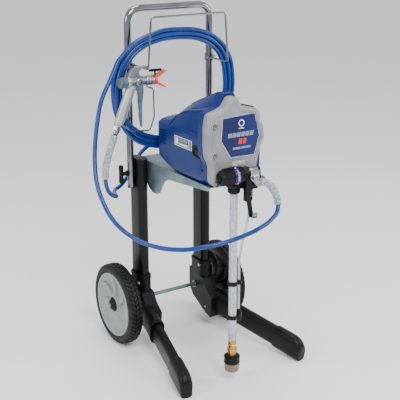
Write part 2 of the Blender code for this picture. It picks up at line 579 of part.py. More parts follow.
# prime valve: hexagonal body in the manifold's side, and a lever on its end
PRIME = (0.0125 + GAP, HANDLE_Y - 0.3620, PUMP_Z + 0.0020)
turned("prime_valve", ((0, 0.0085), (0.0015, 0.0108), (0.0120, 0.0108), (0.0130, 0.0092),
                       (0.0185, 0.0092)),
       PRIME, "X", "aluminium", 6)
LEVER = (PRIME[0] + 0.0185 + GAP, PRIME[1], PRIME[2])
lever_view = [(0.0070, 0.0060), (0.0030, 0.0092), (-0.0040, 0.0092), (-0.0085, 0.0040),
              (-0.0100, -0.0180),
              (-0.0085, -0.0220), (-0.0040, -0.0220), (-0.0010, -0.0180), (0.0060, -0.0055)]
prism("prime_handle", [(LEVER[1] + a, LEVER[2] + b) for a, b in lever_view], "X", LEVER[0],
      LEVER[0] + 0.0075, "black_plastic", origin=LEVER)

OUTLET = (0.0125 + GAP, HANDLE_Y - 0.3850, 0.5425)
turned("outlet_fitting", ((0, 0.0072), (0.0050, 0.0072), (0.0055, 0.0056), (0.0080, 0.0056)), OUTLET, "X",
       "steel", 12)
SPOUT = (0.0030, HANDLE_Y - 0.3740, 0.5330 - GAP)
turned("drain_barb", ((0, 0.0055), (-0.0070, 0.0055), (-0.0080, 0.0042), (-0.0100, 0.0042)), SPOUT, "Z",
       "black_plastic", 14)

# pail hook: an arm under the pump body with a turned-up lip
hook_view = [(0.0, 0.5330 - GAP), (0.0, 0.4580), (-0.0170, 0.4580), (-0.0170, 0.4700), (-0.0145, 0.4700),
             (-0.0145, 0.4612), (-0.0040, 0.4612), (-0.0040, 0.5330 - GAP)]
prism("pail_hook", [(HANDLE_Y - 0.3880 + a, z) for a, z in hook_view], "X", -0.0180, -0.0040,
      "zinc_steel")

# suction set: clear tube, brass barb, strainer
SUCTION_LINE = [(SUCTION_X, SUCTION_Y, 0.5330 - GAP - 0.0133 - GAP), (SUCTION_X, SUCTION_Y, 0.1195)]
tube("suction_tube", smooth_route(SUCTION_LINE, 12), SUCTION_D / 2, "clear_tube", resolution=4)
BARB = (SUCTION_X, SUCTION_Y, 0.1195 - GAP)
turned("suction_barb", ((0, 0.0100), (-0.0020, 0.0110), (-0.0220, 0.0110), (-0.0225, 0.0128),
                        (-0.0310, 0.0128), (-0.0315, 0.0105), (-0.0420, 0.0105)), BARB, "Z", "brass", 18)
STRAINER = (BARB[0], BARB[1], BARB[2] - 0.0420 - GAP)
turned("strainer_ring", ((0, 0.0165), (-0.0020, 0.0205), (-0.0200, 0.0210), (-0.0220, 0.0200)), STRAINER,
       "Z", "black_plastic", 18)
turned("strainer_screen", ((-0.0220 - GAP, 0.0195), (-0.0300, 0.0192), (-0.0420, 0.0180),
                           (-0.0460, 0.0150)),
       STRAINER, "Z", "strainer_tan", 18)

# drain tube beside the suction tube, its barbed tip, and two clips that tie the tubes together
DRAIN_X = SUCTION_X + SUCTION_D / 2 + TUBE_SPACE
DRAIN_Y = SUCTION_Y - 0.0010
DRAIN_LINE = [Vector((SPOUT[0], SPOUT[1], SPOUT[2] - 0.0100 - GAP)),
              Vector((SPOUT[0], SPOUT[1], 0.505)), Vector((SPOUT[0] - 0.0012, SPOUT[1], 0.480)),
              Vector((0.0000, SPOUT[1] + 0.0005, 0.450)), Vector((-0.0060, DRAIN_Y - 0.0040, 0.410)),
              Vector((-0.0135, DRAIN_Y - 0.0015, 0.372)), Vector((DRAIN_X, DRAIN_Y, 0.335)),
              Vector((DRAIN_X, DRAIN_Y, 0.305)),
              Vector((DRAIN_X, DRAIN_Y, 0.260)), Vector((DRAIN_X, DRAIN_Y, 0.2045))]
tube("drain_tube", smooth_route(DRAIN_LINE, 26), DRAIN_D / 2, "clear_tube", resolution=2)


def clip(name, z, far_r):
    """A snap clip: one collar round each tube, joined by a web."""
    big = turned(name, ((-0.0035, SUCTION_D / 2 + GAP), (-0.0035, SUCTION_D / 2 + 0.0020),
                        (0.0035, SUCTION_D / 2 + 0.0020), (0.0035, SUCTION_D / 2 + GAP)),
                 (SUCTION_X, SUCTION_Y, z), "Z", "black_plastic", 20, hollow=True)
    small = turned(name + "_small", ((-0.0034, far_r + GAP), (-0.0034, far_r + 0.0034),
                                     (0.0034, far_r + 0.0034), (0.0034, far_r + GAP)),
                   (DRAIN_X, DRAIN_Y, z), "Z", None, 14, hollow=True)
    join(big, small)
    return big


clip("tube_clip_upper", 0.2790, DRAIN_D / 2)
# the lower one is moulded on the drain tube's barbed tip
TIP_TOP = 0.2045 - GAP
drain_tip = turned("drain_tip", ((0, 0.0036), (-0.0040, 0.0060), (-0.0070, 0.0045), (-0.0110, 0.0062),
                                 (-0.0240, 0.0066), (-0.0290, 0.0050)), (DRAIN_X, DRAIN_Y, TIP_TOP), "Z",
                   "black_plastic", 14)
join(drain_tip, turned("tip_collar", (
    (-0.0035, SUCTION_D / 2 + GAP), (-0.0035, SUCTION_D / 2 + 0.0036), (0.0035, SUCTION_D / 2 + 0.0036),
    (0.0035, SUCTION_D / 2 + GAP)), (SUCTION_X, SUCTION_Y, TIP_TOP - 0.0190), "Z", None, 20,
    hollow=True))

# ---------------------------------------------------------------- hose
LOOP_ROUTE = [
    (OUTLET[0] + 0.0080 + 2 * GAP, OUTLET[1], OUTLET[2]), (0.0330, OUTLET[1], OUTLET[2]),
    (0.0470, HANDLE_Y - 0.3860, 0.5380), (0.0620, HANDLE_Y - 0.3870, 0.5240),
    (0.0790, HANDLE_Y - 0.3880, 0.4930), (0.0740, HANDLE_Y - 0.3980, 0.4660),
    (0.0480, HANDLE_Y - 0.4100, 0.4506), (0.0013, HANDLE_Y - 0.4250, 0.4405),
    (-0.0485, HANDLE_Y - 0.4300, 0.4318), (-0.1086, HANDLE_Y - 0.4250, 0.4230),
    (-0.1560, HANDLE_Y - 0.4060, 0.4150), (-0.1987, HANDLE_Y - 0.3700, 0.4060),
    (-0.2501, HANDLE_Y - 0.3000, 0.4085), (-0.2700, HANDLE_Y - 0.2640, 0.4200),
    (-0.2845, HANDLE_Y - 0.2340, 0.4350), (-0.2968, HANDLE_Y - 0.2050, 0.4590),
    (-0.3050, HANDLE_Y - 0.1780, 0.4953), (-0.3065, HANDLE_Y - 0.1530, 0.5325),
    (-0.2985, HANDLE_Y - 0.1280, 0.5830), (-0.2880, HANDLE_Y - 0.1130, 0.6300),
    (-0.2730, HANDLE_Y - 0.1000, 0.6800), (-0.2550, HANDLE_Y - 0.0900, 0.7290),
    (-0.2280, HANDLE_Y - 0.0830, 0.7720), (-0.2080, HANDLE_Y - 0.0750, 0.8000),
    (-0.1920, HANDLE_Y - 0.0690, 0.8220)]
tube("hose_loop", smooth_route(LOOP_ROUTE, 60), HOSE_D / 2, "hose_blue", resolution=1)


def coil_point(t):
    """A point of the coil's centre line, and the direction straight out from it."""
    c, s = cos(t), sin(t)
    x = (1 if c > 0 else -1) * abs(c) ** (2 / COIL_SQUARE)
    z = (1 if s > 0 else -1) * abs(s) ** (2 / COIL_SQUARE)
    out = Vector(((1 if x > 0 else -1) * abs(x) ** (COIL_SQUARE - 1) / COIL_A, 0,
                  (1 if z > 0 else -1) * abs(z) ** (COIL_SQUARE - 1) / COIL_B)).normalized()
    return Vector((COIL_X + COIL_A * x, COIL_Y, COIL_Z + COIL_B * z)), out


rings = []
for k in range(36):
    mid, out = coil_point(2 * pi * (k + 0.5) / 36)
    rings.append([mid + out * (BUNDLE * cos(u)) + Vector((0, BUNDLE * 0.92 * sin(u), 0))
                  for u in (2 * pi * j / 8 for j in range(8))])
loft("hose_coil", rings, "hose_blue", ring_closed=True, smooth=True)

# ---------------------------------------------------------------- spray gun, hung on the rack's left arm
BODY_X = -0.1815
barrel = turned("gun_body", ((0, 0.0118), (0.0020, 0.0140), (0.0250, 0.0140), (0.0290, 0.0100),
                             (0.0535, 0.0100)), (BODY_X, GUN_Y, BARREL_Z), "X", "aluminium", 20)
GRIP_TOP = Vector((-0.1640, GUN_Y, BARREL_Z - 0.004))
GRIP_END = Vector((-0.2095, GUN_Y, 0.6560))
grip_axis = (GRIP_END - GRIP_TOP).normalized()
grip_side = Vector((-grip_axis.z, 0, grip_axis.x))


def on_grip(distance, half_x, half_y):
    centre = GRIP_TOP + grip_axis * distance
    return [centre + grip_side * (half_x * cos(t)) + Vector((0, half_y * sin(t), 0))
            for t in (2 * pi * k / 12 for k in range(12))]


grip_length = (GRIP_END - GRIP_TOP).length
HOOK_Z = RACK_LOW + RACK_R + 0.0008
join(barrel,
     loft("grip", [on_grip(0.0, 0.0100, 0.0085), on_grip(0.020, 0.0105, 0.0085),
                   on_grip(0.050, 0.0125, 0.0100),
                   on_grip(0.085, 0.0115, 0.0095), on_grip(grip_length, 0.0105, 0.0090)], None),
     block("hook_post", (-0.1760, GUN_Y - 0.0045, BARREL_Z), (-0.1660, GUN_Y + 0.0045, HOOK_Z + 0.0060),
           None),
     block("hook_bar", (-0.1750, GUN_Y - 0.0035, HOOK_Z), (-0.1170, GUN_Y + 0.0035, HOOK_Z + 0.0050),
           None),
     block("hook_lip", (-0.1200, GUN_Y - 0.0034, HOOK_Z - 0.0090),
           (-0.1171, GUN_Y + 0.0034, HOOK_Z + 0.0040), None))
turned("gun_cap", ((-GAP, 0.0100), (-0.0010, 0.0142), (-0.0190, 0.0142), (-0.0215, 0.0120)),
       (BODY_X, GUN_Y, BARREL_Z), "X", "gun_blue_grey", 8)
HEAD_X = BODY_X + 0.0535 + GAP
turned("gun_head", ((0, 0.0105), (0.0020, 0.0128), (0.0230, 0.0128), (0.0255, 0.0105)),
       (HEAD_X, GUN_Y, BARREL_Z), "X", "aluminium", 20)
grip_frame = (grip_axis, grip_side, Vector((0, 1, 0)))
turned("gun_swivel", ((GAP, 0.0070), (0.0030, 0.0070), (0.0035, 0.0095), (0.0150, 0.0095),
                      (0.0160, 0.0070),
                      (0.0200, 0.0070)), GRIP_END, grip_frame, "steel", 6)
PIVOT = (-0.1490, GUN_Y, BARREL_Z - 0.0010)
ears = 0.0155
trigger_view = [
    (-0.0060, 0.0060), (0.0040, 0.0075), (0.0080, 0.0000), (0.0060, -0.0140), (0.0095, -0.0250),
    (0.0060, -0.0500), (0.0065, -0.0900), (0.0080, -0.1180), (0.0045, -0.1190), (0.0010, -0.0900),
    (-0.0005, -0.0500), (0.0010, -0.0280), (-0.0050, -0.0140)]
trigger = prism("gun_trigger", [(PIVOT[0] + a, PIVOT[2] + b) for a, b in trigger_view], "Y",
                GUN_Y - ears - 0.0022,
                GUN_Y + ears + 0.0022, "gun_blue_grey", origin=PIVOT)
cut(trigger, block("ear_gap", (-0.1900, GUN_Y - ears, PIVOT[2] - 0.0240), (-0.1200, GUN_Y + ears, 0.8),
                   None),
    block("waist_left", (-0.19, GUN_Y - 0.03, 0.60), (-0.12, GUN_Y - 0.0060, PIVOT[2] - 0.0262), None),
    block("waist_right", (-0.19, GUN_Y + 0.0060, 0.60), (-0.12, GUN_Y + 0.03, PIVOT[2] - 0.0262), None))
GUARD_ROUTE = [
    (HEAD_X + 0.0040, GUN_Y, BARREL_Z - 0.0128 - GAP), (HEAD_X + 0.0045, GUN_Y, BARREL_Z - 0.0165),
    (-0.1030, GUN_Y, 0.7440), (-0.1015, GUN_Y, 0.6690),
    (-0.1150, GUN_Y, 0.6340), (-0.1700, GUN_Y, 0.6380),
    (-0.1925, GUN_Y, 0.6555)]
tube("trigger_guard", rounded_path(GUARD_ROUTE, 0.0030, 3), 0.0015, "chrome", resolution=1)
TIP_X = HEAD_X + 0.0255 + GAP
guard = turned("tip_guard", ((0, 0.0060), (0, 0.0122), (0.0075, 0.0115), (0.0085, 0.0060)),
               (TIP_X, GUN_Y, BARREL_Z), "X", "orange_plastic", 18, hollow=True, origin=(TIP_X, GUN_Y,
                   BARREL_Z))
for side in (-1, 1):
    wing = [(0.0030, 0.0070), (0.0030, 0.0115), (0.0075, 0.0118), (0.0330, 0.0235), (0.0350, 0.0215),
            (0.0120, 0.0065), (0.0060, 0.0060)]
    join(guard, prism("wing_%d" % side, [(TIP_X + a, BARREL_Z + side * b) for a, b in wing], "Y",
                      GUN_Y - 0.0080, GUN_Y + 0.0080, None))
TIP = (TIP_X + 0.0045, GUN_Y, BARREL_Z)
cut(guard, turned("tip_bore", ((-0.02, 0.0028), (0.04, 0.0028)), TIP, "Z", None, 12))
tip = turned("spray_tip", ((-0.0055, 0.0025), (0.0225, 0.0025)), TIP, "Z", "black_plastic", 12,
             origin=TIP)
arrow = [(-0.0185, 0.0000), (-0.0100, 0.0045), (0.0060, 0.0045), (0.0185, 0.0030), (0.0185, -0.0030),
         (0.0060, -0.0045), (-0.0100, -0.0045)]
join(tip, prism("tip_arrow", [(TIP[0] + a, TIP[1] + b) for a, b in arrow], "Z", BARREL_Z + 0.0215,
                BARREL_Z + 0.0275, None))

SWIVEL_END = GRIP_END + grip_axis * (0.0200 + GAP)
TAIL_ROUTE = [
    SWIVEL_END, SWIVEL_END + grip_axis * 0.0150, (-0.2330, GUN_Y - 0.0005, 0.6020),
    (-0.2430, GUN_Y + 0.003, 0.5650), (-0.2460, GUN_Y + 0.008, 0.5310),
    (-0.2390, GUN_Y + 0.018, 0.4960), (-0.2210, GUN_Y + 0.032, 0.4680),
    (-0.1933, GUN_Y + 0.052, 0.4510), (-0.1620, HANDLE_Y - 0.0300 + 0.064, 0.4430),
    (-0.1300, HANDLE_Y + 0.0500, 0.4530), (-0.0980, HANDLE_Y + 0.0550, 0.4830),
    (-0.0720, HANDLE_Y + 0.0530, 0.5270), (-0.0520, HANDLE_Y + 0.0380, 0.5540),
    (-0.0400, HANDLE_Y + 0.0080, 0.5720), (-0.0330, COIL_Y + BUNDLE + 0.0040, 0.5840)]
tube("hose_tail", smooth_route(TAIL_ROUTE, 34), HOSE_D / 2, "hose_blue", resolution=1)

# ---------------------------------------------------------------- centre the whole
for ob in bpy.data.objects:
    ob.location.x += CENTRE_X
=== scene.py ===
import bpy
import bmesh
import json
from math import pi, sin, cos, radians
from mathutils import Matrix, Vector


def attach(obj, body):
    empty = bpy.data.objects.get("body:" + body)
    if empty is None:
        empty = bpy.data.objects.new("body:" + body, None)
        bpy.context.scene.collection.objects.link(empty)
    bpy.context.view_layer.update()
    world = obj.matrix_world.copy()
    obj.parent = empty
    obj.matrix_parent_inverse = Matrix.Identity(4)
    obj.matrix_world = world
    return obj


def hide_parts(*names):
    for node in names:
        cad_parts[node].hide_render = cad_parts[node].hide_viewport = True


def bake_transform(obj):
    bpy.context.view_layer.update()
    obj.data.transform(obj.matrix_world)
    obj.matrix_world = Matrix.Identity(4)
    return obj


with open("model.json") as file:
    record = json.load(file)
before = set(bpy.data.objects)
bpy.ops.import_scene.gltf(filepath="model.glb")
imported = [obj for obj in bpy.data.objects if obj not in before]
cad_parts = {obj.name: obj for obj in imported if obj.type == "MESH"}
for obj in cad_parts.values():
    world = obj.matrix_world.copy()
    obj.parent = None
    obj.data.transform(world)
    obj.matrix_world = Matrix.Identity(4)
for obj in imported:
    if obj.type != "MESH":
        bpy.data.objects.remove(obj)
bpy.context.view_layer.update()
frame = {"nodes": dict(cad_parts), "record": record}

# Sizes shared with the CAD.  Shapes are drawn about the cart's plane of symmetry, x = 0, and then
# moved by SHIFT into the row frame, except copies of CAD nodes, which are there already.
# HY is the Y of the handle and the legs, and GAP the clearance between pieces that seat together.
SHIFT = Vector((0.0112, 0, 0))
GAP = 0.0003
HY = 0.1405
HANDLE_X, HANDLE_R, HANDLE_TOP, HANDLE_FOOT = 0.128, 0.0095, 0.95, 0.459
LEG_X, LEG_W, LEG_D, LEG_TOP, LEG_FOOT = 0.103, 0.0295, 0.064, 0.538, 0.15
AXLE_R, AXLE_Y, WHEEL_R, WHEEL_FACE = 0.0055, HY + 0.0076, 0.1165, 0.1948
TYRE_W, RIM_R = 0.042, 0.0925
FOOT_ROOT, FOOT_TIP = Vector((0.105, HY - 0.03, 0.087)), Vector((0.185, HY - 0.372, 0.0325))
FOOT_LENGTH = (FOOT_TIP - FOOT_ROOT).length
FRONT, SHROUD_FRONT = HY - 0.345, HY - 0.32
HOSE_R = 0.00575
COIL_X, COIL_Y, COIL_Z = -0.018, HY - 0.05, 0.7318
COIL_A, COIL_B, COIL_SQUARE = 0.175, 0.144, 2.4
GUN_Y, BARREL_Z = HY - 0.088, 0.767
SOCKET_W = 0.0385
KNOB_Z = 0.4985
RACK_LOW, RACK_HIGH, RACK_WIRE_R = 0.796, 0.9275, 0.0027
SUCTION_R, DRAIN_R = 0.0105, 0.00325
LENS_MM = 81.19
EYE = Vector((-1.26393, -2.10072 + HY, 1.18853))
SCREWS = ((-0.083, 0.688), (-0.0815, 0.615))
VENT_COLUMNS = (0.1012, 0.1158)
SIDES = (("left", -1), ("right", 1))


# ---------------------------------------------------------------- materials
def surface(name, colour, rough=0.4, metal=0.0, second=None, scale=60.0, rough_swing=0.08, bump=0.0,
        bump_scale=400.0, coat=0.0, stretch=None, alpha=1.0, clear=0.0, shine=0.5):
    """A finish with mottled colour and gloss, and a fine relief."""
    made = bpy.data.materials.new(name)
    made.use_nodes = True
    tree = made.node_tree
    shader = tree.nodes["Principled BSDF"]
    place = tree.nodes.new("ShaderNodeTexCoord")
    mapping = tree.nodes.new("ShaderNodeMapping")
    if stretch:
        mapping.inputs["Scale"].default_value = stretch
    tree.links.new(place.outputs["Object"], mapping.inputs["Vector"])
    noise = tree.nodes.new("ShaderNodeTexNoise")
    noise.inputs["Scale"].default_value = scale
    noise.inputs["Detail"].default_value = 5.0
    tree.links.new(mapping.outputs["Vector"], noise.inputs["Vector"])
    ramp = tree.nodes.new("ShaderNodeValToRGB")
    other = second or tuple(c * 0.82 for c in colour)
    ramp.color_ramp.elements[0].position, ramp.color_ramp.elements[1].position = 0.35, 0.65
    ramp.color_ramp.elements[0].color = (*other, 1)
    ramp.color_ramp.elements[1].color = (*colour, 1)
    tree.links.new(noise.outputs["Fac"], ramp.inputs["Fac"])
    tree.links.new(ramp.outputs["Color"], shader.inputs["Base Color"])
    gloss = tree.nodes.new("ShaderNodeMapRange")
    gloss.inputs["To Min"].default_value = max(rough - rough_swing, 0.03)
    gloss.inputs["To Max"].default_value = min(rough + rough_swing, 1.0)
    tree.links.new(noise.outputs["Fac"], gloss.inputs["Value"])
    tree.links.new(gloss.outputs["Result"], shader.inputs["Roughness"])
    shader.inputs["Metallic"].default_value = metal
    shader.inputs["Specular IOR Level"].default_value = shine
    if coat:
        shader.inputs["Coat Weight"].default_value = coat
        shader.inputs["Coat Roughness"].default_value = 0.12
    if bump:
        grain = tree.nodes.new("ShaderNodeTexNoise")
        grain.inputs["Scale"].default_value = bump_scale
        grain.inputs["Detail"].default_value = 3.0
        tree.links.new(mapping.outputs["Vector"], grain.inputs["Vector"])
        relief = tree.nodes.new("ShaderNodeBump")
        relief.inputs["Strength"].default_value = bump
        relief.inputs["Distance"].default_value = 0.0006
        tree.links.new(grain.outputs["Fac"], relief.inputs["Height"])
        tree.links.new(relief.outputs["Normal"], shader.inputs["Normal"])
    if clear:
        shader.inputs["Transmission Weight"].default_value = clear
        shader.inputs["IOR"].default_value = 1.35
    if alpha < 1:
        shader.inputs["Alpha"].default_value = alpha
    return made


LOOKS = {"chrome": surface("chrome", (0.3, 0.305, 0.32), 0.08, 1.0, (0.13, 0.135, 0.145), 12, 0.03),
    "zinc_steel": surface("zinc_steel", (0.24, 0.31, 0.33), 0.36, 0.8, (0.15, 0.21, 0.23), 26, 0.1, 0.1,
    700), "black_paint": surface("black_paint", (0.003, 0.003, 0.0034), 0.34, 0.0,
    (0.0016, 0.0016, 0.0018), 90, 0.05, 0.1, 1400, shine=0.2), "black_plastic": surface("black_plastic",
    (0.0022, 0.0022, 0.0026), 0.4, 0.0, (0.0012, 0.0012, 0.0014), 120, 0.07, 0.2, 1500, shine=0.22),
    "tyre_rubber": surface("tyre_rubber", (0.0135, 0.0135, 0.0145), 0.62, 0.0, (0.0045, 0.0045, 0.005),
    70, 0.1, 0.45, 900, shine=0.3), "grey_hub": surface("grey_hub", (0.31, 0.34, 0.34), 0.44, 0.0,
    (0.25, 0.275, 0.275), 22, 0.06, 0.1, 1200, shine=0.35), "blue_plastic": surface("blue_plastic",
    (0.0006, 0.018, 0.135), 0.34, 0.0, (0.0004, 0.013, 0.105), 26, 0.06, 0.12, 1300, shine=0.3),
    "grey_cover": surface("grey_cover", (0.265, 0.275, 0.29), 0.42, 0.08, (0.205, 0.215, 0.23), 26, 0.06,
    0.12, 1300, shine=0.35), "label_blue": surface("label_blue", (0.001, 0.004, 0.056), 0.26, 0.0,
    (0.0014, 0.013, 0.15), 9, 0.04, 0, 400, shine=0.4), "aluminium": surface("aluminium",
    (0.44, 0.45, 0.46), 0.27, 0.92, (0.33, 0.34, 0.36), 40, 0.08, 0.12, 900), "steel": surface("steel",
    (0.4, 0.41, 0.43), 0.2, 1.0, (0.26, 0.27, 0.29), 60, 0.07, 0.06, 900), "copper": surface("copper",
    (0.52, 0.2, 0.08), 0.34, 1.0, (0.3, 0.1, 0.04), 260, 0.08, 0.4, 600, stretch=(1, 12, 1)),
    "brass": surface("brass", (0.6, 0.36, 0.085), 0.22, 1.0, (0.42, 0.23, 0.045), 90, 0.07, 0.05, 800),
    "clear_tube": surface("clear_tube", (0.8, 0.83, 0.86), 0.14, 0.0, (0.42, 0.47, 0.51), 230, 0.1, 0.25,
    260, 0.3, (1, 1, 0.35), 0.8, 0.35), "strainer_tan": surface("strainer_tan", (0.27, 0.2, 0.135), 0.4,
    0.0, (0.135, 0.085, 0.05), 46, 0.08, 0.25, 300), "hose_blue": surface("hose_blue",
    (0.0009, 0.034, 0.205), 0.27, 0.0, (0.0007, 0.024, 0.155), 34, 0.05, 0.12, 700, shine=0.42),
    "orange_plastic": surface("orange_plastic", (0.8, 0.07, 0.016), 0.34, 0.0, (0.64, 0.045, 0.01), 60,
    0.06, 0.08, 900), "gun_blue_grey": surface("gun_blue_grey", (0.095, 0.15, 0.2), 0.36, 0.35,
    (0.052, 0.085, 0.118), 60, 0.08, 0.12, 1000),}
EXTRA = {"white_print": surface("white_print", (0.72, 0.75, 0.78), 0.38, 0.0, (0.62, 0.66, 0.7), 200),
    "grey_print": surface("grey_print", (0.3, 0.35, 0.42), 0.36, 0.2, (0.13, 0.16, 0.22), 260),
    "red_print": surface("red_print", (0.6, 0.04, 0.014), 0.38, 0.0, (0.46, 0.026, 0.01), 200),
    "tan_print": surface("tan_print", (0.22, 0.19, 0.15), 0.45, 0.0, (0.11, 0.1, 0.08), 300),
    "yellow_print": surface("yellow_print", (0.78, 0.36, 0.02), 0.4, 0.0, (0.66, 0.26, 0.014), 200),
    # A near-black finish that is painted shade: it goes where only shade falls, in vent slots, holes,
    # notches, screw sockets and hollows.
    "painted_shade": surface("painted_shade", (0.002, 0.0022, 0.0028), 0.7, 0.0, (0.001, 0.001, 0.0012), 90,
    shine=0.2), "black_hub": surface("black_hub", (0.006, 0.006, 0.0066), 0.36, 0.0,
    (0.0026, 0.0026, 0.003), 60, 0.08, 0.15, 900, shine=0.42), "blade_edge": surface("blade_edge",
    # A lighter grey for the hubs' inner blades: painted highlight, standing in for their bright edges.
    (0.085, 0.088, 0.092), 0.24, 0.0, (0.045, 0.046, 0.05), 60, 0.06, 0.1, 900, shine=0.9),
    "grip_silver": surface("grip_silver", (0.52, 0.53, 0.54), 0.34, 0.7, (0.46, 0.47, 0.48), 20, 0.05,
    0.06, 1200), "sleeve": surface("sleeve", (0.5, 0.54, 0.55), 0.26, 0.0, (0.2, 0.23, 0.25), 190, 0.08,
    0.5, 300, 0.3, None, 0.9), "pale_patch": surface("pale_patch", (0.62, 0.63, 0.62), 0.5, 0.0,
    (0.36, 0.37, 0.36), 200), "milk_streak": surface("milk_streak", (0.78, 0.8, 0.82), 0.35, 0.0,
    (0.52, 0.55, 0.58), 300),}
SLOT_OF = {}
for part in frame["record"]["subparts"]:
    SLOT_OF[part["node"]] = part["material_slot"]
    for slot in frame["nodes"][part["node"]].material_slots:
        slot.material = LOOKS[part["material_slot"]]


def look(name):
    """The finish of that name."""
    return LOOKS.get(name) or EXTRA[name]


# ---------------------------------------------------------------- shapes
def add(name, data, skin):
    made = bpy.data.objects.new(name, data)
    bpy.context.scene.collection.objects.link(made)
    data.materials.append(look(skin))
    return made


def from_bmesh(name, bm, skin):
    bmesh.ops.recalc_face_normals(bm, faces=bm.faces[:])
    mesh = bpy.data.meshes.new(name)
    bm.to_mesh(mesh)
    bm.free()
    for face in mesh.polygons:
        face.use_smooth = True
    return add(name, mesh, skin)


def loft(name, rings, skin, ring_closed=False):
    """A skin over rings of points."""
    bm = bmesh.new()
    rows = [[bm.verts.new(p) for p in ring] for ring in rings]
    count = len(rows[0])
    for i in range(len(rows) if ring_closed else len(rows) - 1):
        a, b = rows[i], rows[(i + 1) % len(rows)]
        for k in range(count):
            n = (k + 1) % count
            bm.faces.new((a[k], a[n], b[n], b[k]))
    if not ring_closed:
        bm.faces.new(list(reversed(rows[0])))
        bm.faces.new(rows[-1])
    return from_bmesh(name, bm, skin)


AXES = {"X": (Vector((1, 0, 0)), Vector((0, 1, 0)), Vector((0, 0, 1))),
    "Y": (Vector((0, 1, 0)), Vector((0, 0, 1)), Vector((1, 0, 0))),
    "Z": (Vector((0, 0, 1)), Vector((1, 0, 0)), Vector((0, 1, 0))),}


def facing(way):
    """Axes whose first one points along X, to the right for 1 and to the left for -1."""
    return Vector((way, 0, 0)), Vector((0, 1, 0)), Vector((0, 0, 1))


def crisp(made, angle):
    """Shade a piece's edges over an angle in degrees as sharp."""
    made.data.set_sharp_from_angle(angle=radians(angle))


def turned(name, profile, centre, axis, skin, steps=40, hollow=False):
    """Turn a profile of (along, radius) pairs about an axis; sharp corners stay crisp."""
    along, u, v = AXES[axis] if isinstance(axis, str) else axis
    centre = Vector(centre)
    rings = [[centre + along * a + (u * cos(2 * pi * k / steps) + v * sin(2 * pi * k / steps)) * r
        for k in range(steps)] for a, r in profile]
    made = loft(name, rings, skin, ring_closed=hollow)
    crisp(made, 32)
    return made


def prism(name, outline, axis, low, high, skin):
    """Push a flat outline out along an axis."""
    def at(p, h):
        return {"X": Vector((h, p[0], p[1])), "Y": Vector((p[0], h, p[1])),
            "Z": Vector((p[0], p[1], h))}[axis]
    made = loft(name, [[at(p, h) for p in outline] for h in (low, high)], skin)
    crisp(made, 32)
    return made


def block(name, low, high, skin):
    return prism(name, [(low[0], low[1]), (high[0], low[1]), (high[0], high[1]), (low[0], high[1])], "Z",
        low[2], high[2], skin)


def sweep(name, points, radius, skin, steps=14, swell=None):
    """A round tube along points; swell(k, share) gives each ring's factor on the radius."""
    points = [Vector(p) for p in points]
    rings, side = [], None
    for k, p in enumerate(points):
        ahead = (points[min(k + 1, len(points) - 1)] - points[max(k - 1, 0)]).normalized()
        if side is None:
            side = ahead.orthogonal().normalized()
        side = (side - ahead * side.dot(ahead)).normalized()
        up = ahead.cross(side)
        r = radius * (swell(k, k / (len(points) - 1)) if swell else 1.0)
        rings.append([p + (side * cos(2 * pi * j / steps) + up * sin(2 * pi * j / steps)) * r
            for j in range(steps)])
    made = loft(name, rings, skin)
    crisp(made, 60)
    return made


def bezier(name, points, radius, skin, resolution=8, steps=6):
    """A hose or wire as one smooth open curve through its points."""
    curve = bpy.data.curves.new(name, "CURVE")
    curve.dimensions = "3D"
    curve.bevel_depth = radius
    curve.bevel_resolution = resolution
    curve.resolution_u = steps
    curve.use_fill_caps = True
    line = curve.splines.new("BEZIER")
    line.bezier_points.add(len(points) - 1)
    for spot, p in zip(line.bezier_points, points):
        spot.co = p
        spot.handle_left_type = spot.handle_right_type = "AUTO"
    return add(name, curve, skin)


def rounded_path(corners, bend, steps=8):
    """A path through corners, each rounded by bend."""
    corners = [Vector(c) for c in corners]
    path = [corners[0]]
    for a, b, c in zip(corners, corners[1:], corners[2:]):
        start, end = b + (a - b).normalized() * bend, b + (c - b).normalized() * bend
        path += [start.lerp(b, k / steps).lerp(b.lerp(end, k / steps), k / steps)
            for k in range(steps + 1)]
    return path + [corners[-1]]


def smooth_route(points, count):
    """Points at equal steps along a Catmull-Rom curve through the route points."""
    pts = [Vector(p) for p in points]
    pts = [pts[0] * 2 - pts[1]] + pts + [pts[-1] * 2 - pts[-2]]
    dense = []
    for a, b, c, d in zip(pts, pts[1:], pts[2:], pts[3:]):
        for k in range(12):
            t = k / 12
            dense.append(0.5 * ((2 * b) + (c - a) * t + (2 * a - 5 * b + 4 * c - d) * t * t
                + (3 * b - a - 3 * c + d) * t ** 3))
    dense.append(pts[-2])
    lengths = [0.0]
    for a, b in zip(dense, dense[1:]):
        lengths.append(lengths[-1] + (b - a).length)
    route, j = [], 0
    for k in range(count):
        want = lengths[-1] * k / (count - 1)
        while j < len(lengths) - 2 and lengths[j + 1] < want:
            j += 1
        span = max(lengths[j + 1] - lengths[j], 1e-9)
        route.append(dense[j].lerp(dense[j + 1], (want - lengths[j]) / span))
    return route


def route_length(points):
    """The length of a line through points."""
    return sum((b - a).length for a, b in zip(points, points[1:]))


def oval(width, depth, steps=14):
    """An outline with straight sides and round ends."""
    r, points = width / 2, []
    for side, start in ((1, 0.0), (-1, pi)):
        points += [(r * cos(start + pi * k / steps), side * (depth / 2 - r)
            + r * sin(start + pi * k / steps)) for k in range(steps + 1)]
    return points


def fillet(outline, reach, steps=3):
    """Round an outline's corners."""
    result, n = [], len(outline)
    for i in range(n):
        a, b, c = (Vector(outline[i - 1]), Vector(outline[i]), Vector(outline[(i + 1) % n]))
        d = min(reach, (a - b).length * 0.45, (c - b).length * 0.45)
        start, end = b + (a - b).normalized() * d, b + (c - b).normalized() * d
        for k in range(steps + 1):
            p = start.lerp(b, k / steps).lerp(b.lerp(end, k / steps), k / steps)
            result.append((p.x, p.y))
    return result


